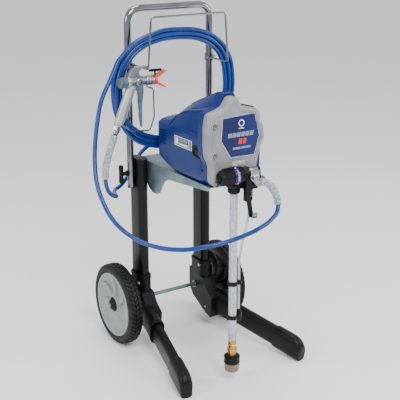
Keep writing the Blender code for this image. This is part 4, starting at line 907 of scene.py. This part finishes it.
def ring_at(outline, y, reach=0.0028, steps=2):
    return [Vector((p[0], y, p[1])) for p in fillet(outline, reach, steps)]


wall = 0.0025
outer = [ring_at(inset(HOOD[0][1], 0.0016), HY - 0.084), ring_at(inset(HOOD[0][1], 0.0004), HY - 0.0848)]
outer += [ring_at(line, y) for y, line in HOOD[1:]]
outer += [ring_at(FLANGE, HY - 0.299), ring_at(FLANGE, SHROUD_FRONT)]
inner = [ring_at(inset(FLANGE, wall), SHROUD_FRONT), ring_at(inset(FLANGE, wall), HY - 0.301),
    ring_at(inset(HOOD[4][1], wall), HY - 0.287)]
inner += [ring_at(inset(line, wall), y) for y, line in HOOD[3:0:-1]]
inner += [ring_at(inset(HOOD[0][1], wall), HY - 0.084 - wall)]
shroud = loft("shroud_shell", outer + inner, "blue_plastic")
slots = [block("slot", (-0.1, HY - y - 0.0052, 0.599 + 0.0068 * k),
    (-0.078, HY - y + 0.0052, 0.6026 + 0.0068 * k), "painted_shade") for k in range(6)
    for y in VENT_COLUMNS]
slots += [block("slot", (-0.042, HY - 0.09, 0.6 + 0.009 * k), (0.03, HY - 0.08, 0.604 + 0.009 * k),
    "painted_shade") for k in range(6)]
cut(shroud, *slots)
cut(shroud, block("window", (-0.1, HY - 0.2832, 0.6005), (-0.07, HY - 0.2588, 0.6215), "painted_shade"),
    turned("hole", ((-0.02, 0.0083), (0.02, 0.0083)), (0.045, HY - 0.084, 0.59), "Y", "painted_shade", 24))
crisp(shroud, 16)
put(shroud, "cart", ("motor_shroud",))
flange = prism("shroud_flange", fillet(inset(FLANGE, -0.0012), 0.005, 2), "Y", SHROUD_FRONT + 0.0002,
    SHROUD_FRONT + 0.0062, "blue_plastic")
soften(flange, 0.0011, 2, 40)
put(flange, "cart")


def ridge(name, points, radius):
    """A raised line on the shroud that fades at its ends."""
    put(sweep(name, points, radius, "blue_plastic", 10, lambda k, s: 0.35
        + 0.65 * min(1.0, 8 * s, 8 * (1 - s))), "cart")


def step_panel(name, rows):
    """A raised panel from cross-section rows of two edges each, both lifted off the shell."""
    rings = []
    for k, (y, x0, z0, x1, z1) in enumerate(rows):
        lift = 0.0002 if k == 0 else 0.0032
        rings.append([Vector((x0, y, z0 - 0.003)), Vector((x0, y, z0 + lift)), Vector((x1, y, z1 + lift)),
            Vector((x1, y, z1 - 0.003))])
    made = loft(name, rings, "blue_plastic")
    soften(made, 0.0013, 3, 22)
    put(made, "cart")


# the raised step on the hump, and the ridges along the shoulder's edges
step_panel("shroud_hump_step", [(HY - 0.166, -0.0385, 0.7065, -0.0125, 0.7065),
    (HY - 0.174, -0.0385, 0.7103, -0.0125, 0.7103), (HY - 0.205, -0.0385, 0.724, -0.0125, 0.724),
    (HY - 0.287, -0.0385, 0.7572, -0.0125, 0.7572)])
edge_low = [Vector((-0.0872, y, z)) for y, z in ((HY - 0.14, 0.6556), (HY - 0.18, 0.656),
    (HY - 0.23, 0.6562), (HY - 0.292, 0.6562))]
edge_rear = [Vector((-0.087, HY - 0.138, 0.656)), Vector((-0.08, HY - 0.148, 0.67)),
    Vector((-0.0752, HY - 0.158, 0.6828))]
edge_top = [Vector((-0.075, y, z)) for y, z in ((HY - 0.158, 0.683), (HY - 0.205, 0.7022),
    (HY - 0.245, 0.7104), (HY - 0.292, 0.7196))]
edge_mid = [Vector((-0.058, y, z)) for y, z in ((HY - 0.15, 0.684), (HY - 0.16, 0.6874),
    (HY - 0.205, 0.7064), (HY - 0.292, 0.7256))]
for name, line in (("low", edge_low), ("rear", edge_rear), ("top", edge_top), ("mid", edge_mid)):
    ridge("shroud_edge_" + name, line, 0.0021)
for k, y in enumerate(VENT_COLUMNS):
    put(block("vent_shade_%d" % k, (-0.086, HY - y - 0.0064, 0.597), (-0.0852, HY - y + 0.0064, 0.64),
        "painted_shade"), "cart")
put(turned("side_dial", ((0.0, 0.006), (-0.0004, 0.0078), (-0.0036, 0.0078), (-0.0042, 0.0066)),
    (-0.0765, HY - 0.349, 0.545), "X", "label_blue", 32), "cart")
put(turned("side_dial_dot", ((-0.004, 0.003), (-0.0046, 0.0028)), (-0.0765, HY - 0.349, 0.5462), "X",
    "yellow_print", 20), "cart")

LABEL = [(-0.06, 0.707), (0.036, 0.711), (0.052, 0.653), (0.037, 0.604), (-0.035, 0.605), (-0.064, 0.65)]
PUMP_X = -0.0055
cover = loft("cover_shell", [ring_at(inset(RIM, g), y, 0.009 - 0.5 * g, 4)
    for y, g in ((SHROUD_FRONT - GAP, 0.0), (HY - 0.335, 0.0), (HY - 0.3385, 0.0006),
    (HY - 0.3412, 0.0018), (HY - 0.3433, 0.0036), (HY - 0.3446, 0.0058), (FRONT, 0.008))], "grey_cover")
cut(cover, prism("recess", inset(LABEL, -GAP), "Y", FRONT - 0.01, FRONT + 0.0022, "grey_cover"))
cut(cover, *[turned("seat", ((-0.006, 0.0058), (0.006, 0.0058)), (x, FRONT, z), "Y", "grey_cover", 24)
    for x, z in SCREWS])
crisp(cover, 30)
put(cover, "cart", ("front_cover",))
step = fillet(inset(RIM, 0.0125), 0.006, 4)
lip_out, lip_mid, lip_in = step, fillet(inset(RIM, 0.0137), 0.006, 4), fillet(inset(RIM, 0.0149), 0.006, 4)
groove = loft("cover_bead", [[Vector((p[0], y, p[1])) for p in ring_]
    for ring_, y in ((lip_out, FRONT + 0.0004), (lip_mid, FRONT - 0.001), (lip_in, FRONT + 0.0004))],
    "grey_cover", ring_closed=True)
put(groove, "cart")
put(block("yoke_shadow", (PUMP_X - 0.0068, FRONT - 0.0004, 0.5345),
    (PUMP_X + 0.0068, FRONT + 0.001, 0.576), "painted_shade"), "cart")
rim_out, rim_in = inset(LABEL, -0.0048), inset(LABEL, -0.0006)
frame_ring = loft("label_frame", [[Vector((p[0], y, p[1])) for p in ring_]
    for ring_, y in ((rim_out, FRONT + 0.0004), (inset(LABEL, -0.0036), FRONT - 0.0012),
    (inset(LABEL, -0.0014), FRONT - 0.0012), (rim_in, FRONT + 0.0004))], "grey_cover", ring_closed=True)
crisp(frame_ring, 30)
put(frame_ring, "cart")
put(prism("label_border", LABEL, "Y", FRONT + 0.0004, FRONT + 0.0016, "white_print"), "cart",
    ("front_label",))
put(prism("label_film", inset(LABEL, 0.0012), "Y", FRONT + 0.0001, FRONT + 0.0006, "label_blue"), "cart")


def bar(name, x0, x1, z0, z1, skin, slant=0.0):
    put(prism(name, [(x0, z0), (x1, z0), (x1 + slant, z1), (x0 + slant, z1)], "Y", FRONT - 0.0003, FRONT
        + 0.0003, skin), "cart")


# plain bars and a ring fill the label where printing would be
for k in range(6):
    bar("label_block_%d" % k, -0.0445 + 0.013 * k, -0.0335 + 0.013 * k, 0.656 - 0.0001 * k, 0.6665
        + 0.0001 * k, "grey_print", 0.002)
bar("label_bar_red_0", -0.013, -0.002, 0.637, 0.6505, "red_print", 0.002)
bar("label_bar_red_1", 0.0005, 0.01, 0.637, 0.6505, "red_print", 0.002)
bar("label_bar_thin_0", -0.03, -0.006, 0.6245, 0.63, "grey_print", 0.001)
bar("label_bar_thin_1", -0.004, 0.024, 0.6245, 0.63, "grey_print", 0.001)
put(turned("label_ring", ((-0.0003, 0.0062), (-0.0003, 0.0088), (0.0003, 0.0088), (0.0003, 0.0062)),
    (-0.004, FRONT, 0.6895), "Y", "white_print", 36, hollow=True), "cart")
bar("label_ring_bar", -0.012, 0.004, 0.6755, 0.6775, "white_print")

for k, (x, z) in enumerate(SCREWS):
    put(turned("screw_well_%d" % k, ((0.0022, 0.006), (-0.0012, 0.0074), (-0.002, 0.008),
        (-0.0012, 0.009), (0.0015, 0.0094)), (x, FRONT, z), "Y", "grey_cover", 28), "cart")
    put(turned("screw_shade_%d" % k, ((0.0, 0.0058), (0.0006, 0.0058)), (x, FRONT, z), "Y", "painted_shade",
        24), "cart")
    put(turned("cover_screw_%d" % k, ((-0.004, 0.0026), (-0.0038, 0.0036), (-0.0026, 0.0046),
        (0.001, 0.0047)), (x, FRONT, z), "Y", "steel", 24), "cart")
    # A dark hexagon on each screw head is painted shade, standing in for the inside of its socket.
    put(turned("screw_slot_shade_%d" % k, ((-0.0043, 0.002), (-0.0035, 0.002)), (x, FRONT, z), "Y",
        "painted_shade", 6), "cart")
    put(block("screw_notch_%d" % k, (x + 0.006, FRONT - 0.0006, z - 0.005),
        (x + 0.017, FRONT + 0.0006, z - 0.0034), "grey_cover"), "cart")
put(prism("vent_patch", [(-0.03, 0.583), (0.006, 0.5835), (0.006, 0.595), (-0.03, 0.5945)], "Y",
    FRONT - 0.001, FRONT + 0.0004, "pale_patch"), "cart")
for k in range(8):
    x = -0.0285 + 0.0042 * k
    put(block("vent_patch_rib_%d" % k, (x, FRONT - 0.0022, 0.584), (x + 0.0018, FRONT, 0.594),
        "pale_patch"), "cart")
hump = [[Vector((x, y, z)) for x, z in ((-0.04, 0.736), (-0.0335, 0.7485), (-0.0165, 0.748),
    (-0.009, 0.736))] for y in (FRONT - 0.0014, FRONT + 0.004)]
hump = loft("cover_hump", hump, "grey_cover")
put(hump, "cart")
soften(hump, 0.002, 3, 25)
# The screw on the shroud's left face is a near-black disc in the painted-shade finish, not steel like the
# other screws.
put(turned("shroud_screw", ((0.0, 0.0035), (0.0012, 0.0034), (0.0012, 0.002)),
    (-0.0882, HY - 0.299, 0.57), facing(-1), "painted_shade", 18), "cart")

# side label: a slanted white patch with plain blocks
def side_mark(name, y0, y1, z0, z1, skin, proud):
    """A patch on the shroud's left face; y0 is its rear edge."""
    put(prism(name, [(y0, z0), (y1, z0), (y1, z1), (y0, z1)], "X", -0.088 - proud, -0.0876, skin), "cart")


side_mark("side_label", HY - 0.168, HY - 0.25, 0.609, 0.6345, "white_print", 0.0004)
side_mark("side_label_blue", HY - 0.1715, HY - 0.235, 0.611, 0.6325, "label_blue", 0.0006)
side_mark("side_label_dot", HY - 0.174, HY - 0.186, 0.6135, 0.63, "white_print", 0.0008)
for k in range(4):
    side_mark("side_label_bar_%d" % k, HY - 0.1895 - 0.0108 * k, HY - 0.1985 - 0.0108 * k, 0.6225, 0.63,
        "grey_print", 0.0008)
side_mark("side_label_line", HY - 0.1895, HY - 0.232, 0.6135, 0.619, "white_print", 0.0008)
side_mark("side_label_tan", HY - 0.2372, HY - 0.248, 0.611, 0.6325, "tan_print", 0.0006)
refined("switch_bezel", "cart", 0.0005)
refined("switch_rocker", "power_rocker", 0.0006)
put(block("rocker_mark", (-0.0884, HY - 0.274, 0.6133), (-0.0874, HY - 0.268, 0.6141), "grey_print"),
    "power_rocker")
refined("cord_gland", "cart", 0.0006)

# ---------------------------------------------------------------- pump unit: fluid section
refined("pump_body", "cart", 0.0016, 3, 28)
hook_y = HY - 0.388


def hook_row(x, z, half, y0, y1):
    return [Vector((x - half, y0, z)), Vector((x + half, y0, z)), Vector((x + half, y1, z)),
        Vector((x - half, y1, z))]


arm = loft("hook_arm", [hook_row(x, z, half, hook_y - 0.0052, hook_y + 0.0008)
    for x, z, half in ((-0.0125, 0.5325, 0.008), (-0.0122, 0.506, 0.008), (-0.0106, 0.5, 0.0062),
    (-0.0052, 0.474, 0.0058), (-0.003, 0.463, 0.0064), (-0.0028, 0.46, 0.0058))], "black_plastic")
soften(arm, 0.0012, 2, 25)
foot = loft("hook_foot", [[Vector((x, y, z)) for x, z in ((-0.0088 + s, 0.4602), (0.0034 + s, 0.4602),
    (0.0034 + s, 0.4632), (-0.0088 + s, 0.4632))] for y, s in ((hook_y, 0.0), (hook_y - 0.017, 0.001))],
    "black_plastic")
lip = loft("hook_lip", [[Vector((x, y, z)) for x, y in ((-0.0082, hook_y - 0.017),
    (0.0056, hook_y - 0.017), (0.0056, hook_y - 0.0145), (-0.0082, hook_y - 0.0145))]
    for z in (0.4602, 0.4735)], "zinc_steel")
put(merge("hook_piece", arm, foot, lip), "cart", ("pail_hook",))
put(block("hook_carrier", (-0.0235, HY - 0.3945, 0.503), (-0.0015, HY - 0.383, 0.542), "black_plastic"),
    "cart")
soften(bpy.data.objects["hook_carrier"], 0.0018, 3, 25)
for k in range(3):
    put(turned("hook_dot_%d" % k, ((-0.0006, 0.0012), (0.0004, 0.0012)),
        (-0.006 - 0.0002 * k, HY - 0.3945, 0.527 - 0.0058 * k), "Y", "grey_print", 12), "cart")
put(turned("suction_nut_ribbed", ((0, 0.0135), (-0.0008, 0.015), (-0.0102, 0.015), (-0.0112, 0.014),
    (-0.0125, 0.0118), (-0.0133, 0.0112)), SUCTION, "Z", "black_plastic", 40), "cart",
    ("suction_nut",))
for k in range(14):
    a = 2 * pi * k / 14
    put(sweep("nut_rib_%d" % k, [SUCTION + Vector((0.0149 * cos(a), 0.0149 * sin(a), z))
        for z in (-0.0012, -0.0098)], 0.0011, "black_plastic", 6), "cart")

KNOB = Vector((-0.0515, HY - 0.374, 0.567))
put(turned("gauge_ring", ((0, 0.015), (0, 0.0196), (0.0012, 0.0208), (0.003, 0.0213), (0.024, 0.0213),
    (0.0262, 0.0206), (0.0277, 0.0192), (0.0277, 0.015)), KNOB, "X", "label_blue", 56, hollow=True),
    "cart", ("control_ring",))
put(turned("ring_rear_band", ((0.015, 0.0205), (0.015, 0.0219), (0.0275, 0.0219), (0.0282, 0.0205)), KNOB,
    "X", "black_plastic", 48, hollow=True), "cart")
DOTS = ("yellow_print", "yellow_print", "red_print", "white_print", "white_print", "yellow_print")
for k in range(15):
    a = radians(-60 + 16 * k)
    out = Vector((0, -cos(a), sin(a)))
    across = Vector((0, sin(a), cos(a)))
    size = 0.0021 + 0.00016 * (k % 7)
    put(turned("ring_dot_%d" % k, ((0.0, size), (0.0006, size * 0.9)), KNOB + Vector((0.008, 0, 0))
        + out * 0.0211, (out, Vector((1, 0, 0)), across), DOTS[k % 6], 12), "cart")
    if k % 2 == 0:
        put(turned("ring_fleck_%d" % k, ((0.0, 0.0007), (0.0005, 0.0006)), KNOB + Vector((0.0125, 0, 0))
            + out * 0.0211, (out, Vector((1, 0, 0)), across), "white_print", 8), "cart")
grip_parts = [turned("drum", ((-0.0004, 0.015), (-0.0007, 0.0185), (-0.006, 0.019), (-0.03, 0.0185),
    (-0.0338, 0.0178), (-0.0362, 0.0155), (-0.0365, 0.0125), (-0.033, 0.0105), (-0.033, 0.006)), KNOB,
    "X", "black_plastic", 56)]
for k in range(18):
    a = 2 * pi * k / 18
    out = Vector((0, cos(a), sin(a)))
    grip_parts.append(sweep("rib%d" % k, [KNOB + Vector((x, 0, 0)) + out * r
        for x, r in ((-0.002, 0.0182), (-0.006, 0.0188), (-0.029, 0.0184), (-0.034, 0.0168))], 0.0014,
        "black_plastic", 8))
# A dark cone in the drum's hollow end is painted shade.
grip_parts.append(turned("end_hollow_shade", ((-0.033, 0.0066), (-0.0352, 0.006), (-0.0358, 0.004)), KNOB, "X",
    "painted_shade", 6))
grip_parts.append(prism("pointer", [(KNOB.x - 0.032, 0.5845), (KNOB.x - 0.029, 0.59),
    (KNOB.x - 0.004, 0.5916), (KNOB.x + 0.006, 0.5912), (KNOB.x + 0.006, 0.5893),
    (KNOB.x - 0.0018, 0.5893), (KNOB.x - 0.004, 0.585)], "Y", KNOB.y - 0.0026, KNOB.y + 0.0026,
    "black_plastic"))
put(merge("pressure_grip", *grip_parts), "pressure_control", ("pressure_knob",))

MANIFOLD_X = 0.0128
PRIME = Vector((MANIFOLD_X, HY - 0.362, 0.569))
valve = turned("prime_valve_hex", ((0, 0.0088), (0.0015, 0.0108), (0.0078, 0.0108)), PRIME, "X",
    "aluminium", 6)
put(merge("prime_valve_turned", valve, turned("neck", ((0.0078, 0.0095), (0.0084, 0.0102),
    (0.0096, 0.0102), (0.0102, 0.0088), (0.0112, 0.0102), (0.0126, 0.0102), (0.0132, 0.0088),
    (0.0144, 0.0098), (0.0178, 0.0098), (0.0185, 0.0088)), PRIME, "X", "steel", 32)), "cart",
    ("prime_valve",))
refined("prime_handle", "prime_lever", 0.0012, 3, 25)
manifold = block("manifold_block", (-0.0105, HY - 0.4, 0.556), (0.015, HY - 0.384, 0.5805), "aluminium")
soften(manifold, 0.004, 4, 25)
put(manifold, "cart")
put(turned("manifold_boss", ((0.0, 0.0115), (-0.0022, 0.0108)), (-0.002, HY - 0.3998, 0.564), "Y",
    "aluminium", 32), "cart")
put(turned("manifold_plug", ((0.0, 0.0075), (-0.001, 0.0092), (-0.0058, 0.0092), (-0.0068, 0.0076),
    (-0.0068, 0.0032), (-0.0046, 0.0028)), (-0.002, HY - 0.4018, 0.564), "Y", "steel", 6), "cart")
put(turned("manifold_cap", ((0.0, 0.008), (0.0046, 0.008), (0.006, 0.007)), (-0.003, HY - 0.392, 0.58),
    "Z", "aluminium", 6), "cart")
put(sweep("outlet_elbow", smooth_route([(0.003, HY - 0.396, 0.56), (0.006, HY - 0.397, 0.55),
    (0.012, HY - 0.392, 0.544), (0.022, HY - 0.386, 0.5425)], 14), 0.0078, "aluminium", 22), "cart")
put(turned("outlet_collar", ((0.0, 0.008), (0.0012, 0.0098), (0.007, 0.0098), (0.0082, 0.008)),
    (0.0175, HY - 0.3856, 0.5425), "X", "steel", 6), "cart")
put(turned("outlet_nut", ((0, 0.008), (0.001, 0.0088), (0.006, 0.0088), (0.007, 0.0078), (0.008, 0.0062)),
    OUTLET, "X", "steel", 6), "cart", ("outlet_fitting",))
put(turned("outlet_ferrule", ((0.008, 0.0079), (0.0092, 0.0083), (0.02, 0.0083), (0.0212, 0.0077)),
    OUTLET, "X", "steel", 28), "cart")
refined("drain_barb", "cart", 0.0004)

# ---------------------------------------------------------------- spray gun
BODY_X, HOOK_Z = -0.1815, RACK_LOW + RACK_WIRE_R + 0.0008
BARREL_LENGTH = 0.0535
PIN_X, PIN_Z = -0.149, BARREL_Z - 0.001
barrel = turned("barrel", ((0, 0.0118), (0.0012, 0.0136), (0.002, 0.014), (0.024, 0.014), (0.027, 0.0126),
    (0.042, 0.012), (BARREL_LENGTH, 0.0112)), (BODY_X, GUN_Y, BARREL_Z), "X", "aluminium", 44)
web = prism("web", fillet([(-0.1795, 0.774), (-0.174, 0.79), (-0.166, HOOK_Z + 0.0034),
    (-0.156, HOOK_Z + 0.0062), (-0.126, HOOK_Z + 0.0056), (-0.1185, HOOK_Z + 0.004),
    (-0.1185, HOOK_Z + 0.0004), (-0.14, HOOK_Z + 0.0002), (-0.1485, 0.793), (-0.148, 0.785),
    (-0.14, 0.78), (-0.129, 0.777), (-0.129, 0.76), (-0.14, 0.753), (-0.156, 0.749), (-0.176, 0.755)],
    0.004, 3), "Y", GUN_Y - 0.0085, GUN_Y + 0.0085, "aluminium")
soften(web, 0.003, 3, 30)
shoulders = turned("shoulders", ((-0.015, 0.008), (-0.014, 0.0095), (0.014, 0.0095), (0.015, 0.008)),
    (PIN_X, GUN_Y, PIN_Z), "Y", "aluminium", 32)
rings = []
for distance, half_x, half_y in ((-0.004, 0.0115, 0.011), (0.012, 0.0125, 0.0118), (0.03, 0.0128, 0.0122),
        (0.055, 0.0136, 0.0128), (0.085, 0.0132, 0.0122), (0.105, 0.0122, 0.0114),
        (0.112, 0.0122, 0.0114), (0.115, 0.0112, 0.0104)):
    centre = GRIP_TOP + grip_axis * distance
    rings.append([centre + grip_side * (half_x * cos(2 * pi * k / 40))
        + Vector((0, half_y * sin(2 * pi * k / 40), 0)) for k in range(40)])
grip = loft("grip", rings, "grip_silver")
put(merge("gun_frame", barrel, web, shoulders, grip), "gun", ("gun_body",))
refined("gun_cap", "gun", 0.0008)
head_x = BODY_X + BARREL_LENGTH + GAP
put(turned("gun_head_turned", ((0, 0.01), (0.0006, 0.011), (0.002, 0.0128), (0.008, 0.0128),
    (0.0086, 0.012), (0.0098, 0.012), (0.0104, 0.0128), (0.0215, 0.0128), (0.024, 0.0116),
    (0.0255, 0.0105)), (head_x, GUN_Y, BARREL_Z), "X", "aluminium", 44), "gun",
    ("gun_head",))
for k in range(16):
    a = 2 * pi * k / 16
    out = Vector((0, cos(a), sin(a)))
    put(sweep("head_knurl_%d" % k, [Vector((head_x + x, GUN_Y, BARREL_Z)) + out * 0.0127
        for x in (0.0116, 0.0206)], 0.0007, "aluminium", 6), "gun")
put(turned("gun_collar", ((0.0, 0.01), (0.0, 0.0146), (0.0032, 0.0146), (0.004, 0.0138)),
    (-0.1602, GUN_Y, BARREL_Z), "X", "aluminium", 40), "gun")
put(turned("gun_pin", ((-0.019, 0.004), (-0.018, 0.0046), (0.018, 0.0046), (0.019, 0.004)),
    (PIN_X, GUN_Y, PIN_Z), "Y", "steel", 20), "gun")
swivel_frame = (grip_axis, grip_side, Vector((0, 1, 0)))
swivel = turned("swivel_nut", ((GAP, 0.0072), (0.0022, 0.0072), (0.0028, 0.0098), (0.0105, 0.0098),
    (0.0115, 0.008)), GRIP_END, swivel_frame, "steel", 6)
put(merge("swivel_turned", swivel, turned("swivel_neck", ((0.0115, 0.007), (0.0125, 0.0082),
    (0.015, 0.0082), (0.0158, 0.007), (0.02, 0.007)), GRIP_END, swivel_frame, "steel", 28)), "gun",
    ("gun_swivel",))
put(turned("grip_base", ((-0.006, 0.0106), (-0.0052, 0.0118), (-0.0012, 0.0118), (0.0, 0.0106)), GRIP_END,
    swivel_frame, "aluminium", 36), "gun")
rows = []
for a0, a1, b, half in ((-0.01, 0.005, 0.005, 0.016), (-0.0105, 0.0085, -0.003, 0.0162),
        (-0.006, 0.01, -0.015, 0.014), (-0.001, 0.0125, -0.027, 0.0092), (0.0, 0.0115, -0.038, 0.008),
        (0.0, 0.0095, -0.052, 0.0072), (0.001, 0.009, -0.07, 0.0062), (0.002, 0.0096, -0.092, 0.0052),
        (0.0042, 0.0098, -0.112, 0.004), (0.0062, 0.0092, -0.121, 0.0028)):
    rows.append([Vector((PIN_X + a0, GUN_Y - half * 0.6, PIN_Z + b)),
        Vector((PIN_X + a1, GUN_Y - half, PIN_Z + b)), Vector((PIN_X + a1, GUN_Y + half, PIN_Z + b)),
        Vector((PIN_X + a0, GUN_Y + half * 0.6, PIN_Z + b))])
lever = loft("trigger_lever", rows, "gun_blue_grey")
soften(lever, 0.0014, 3, 30)
put(lever, "trigger", ("gun_trigger",))
guard_path = rounded_path([(head_x + 0.004, GUN_Y, BARREL_Z - 0.0131),
    (head_x + 0.0045, GUN_Y, BARREL_Z - 0.0165), (-0.103, GUN_Y, 0.744), (-0.1015, GUN_Y, 0.669),
    (-0.115, GUN_Y, 0.634), (-0.17, GUN_Y, 0.638), (-0.1925, GUN_Y, 0.6555)], 0.006, 6)
put(sweep("guard_wire", guard_path, 0.002, "chrome", 14), "gun", ("trigger_guard",))
refined("tip_guard", "guard", 0.0008)
TIP_X = head_x + 0.0255 + GAP
put(turned("guard_nut", ((0.0002, 0.01), (0.0008, 0.0128), (0.0062, 0.0126), (0.0076, 0.01)),
    (TIP_X, GUN_Y, BARREL_Z), "X", "orange_plastic", 8), "guard")
refined("spray_tip", "tip", 0.0005)
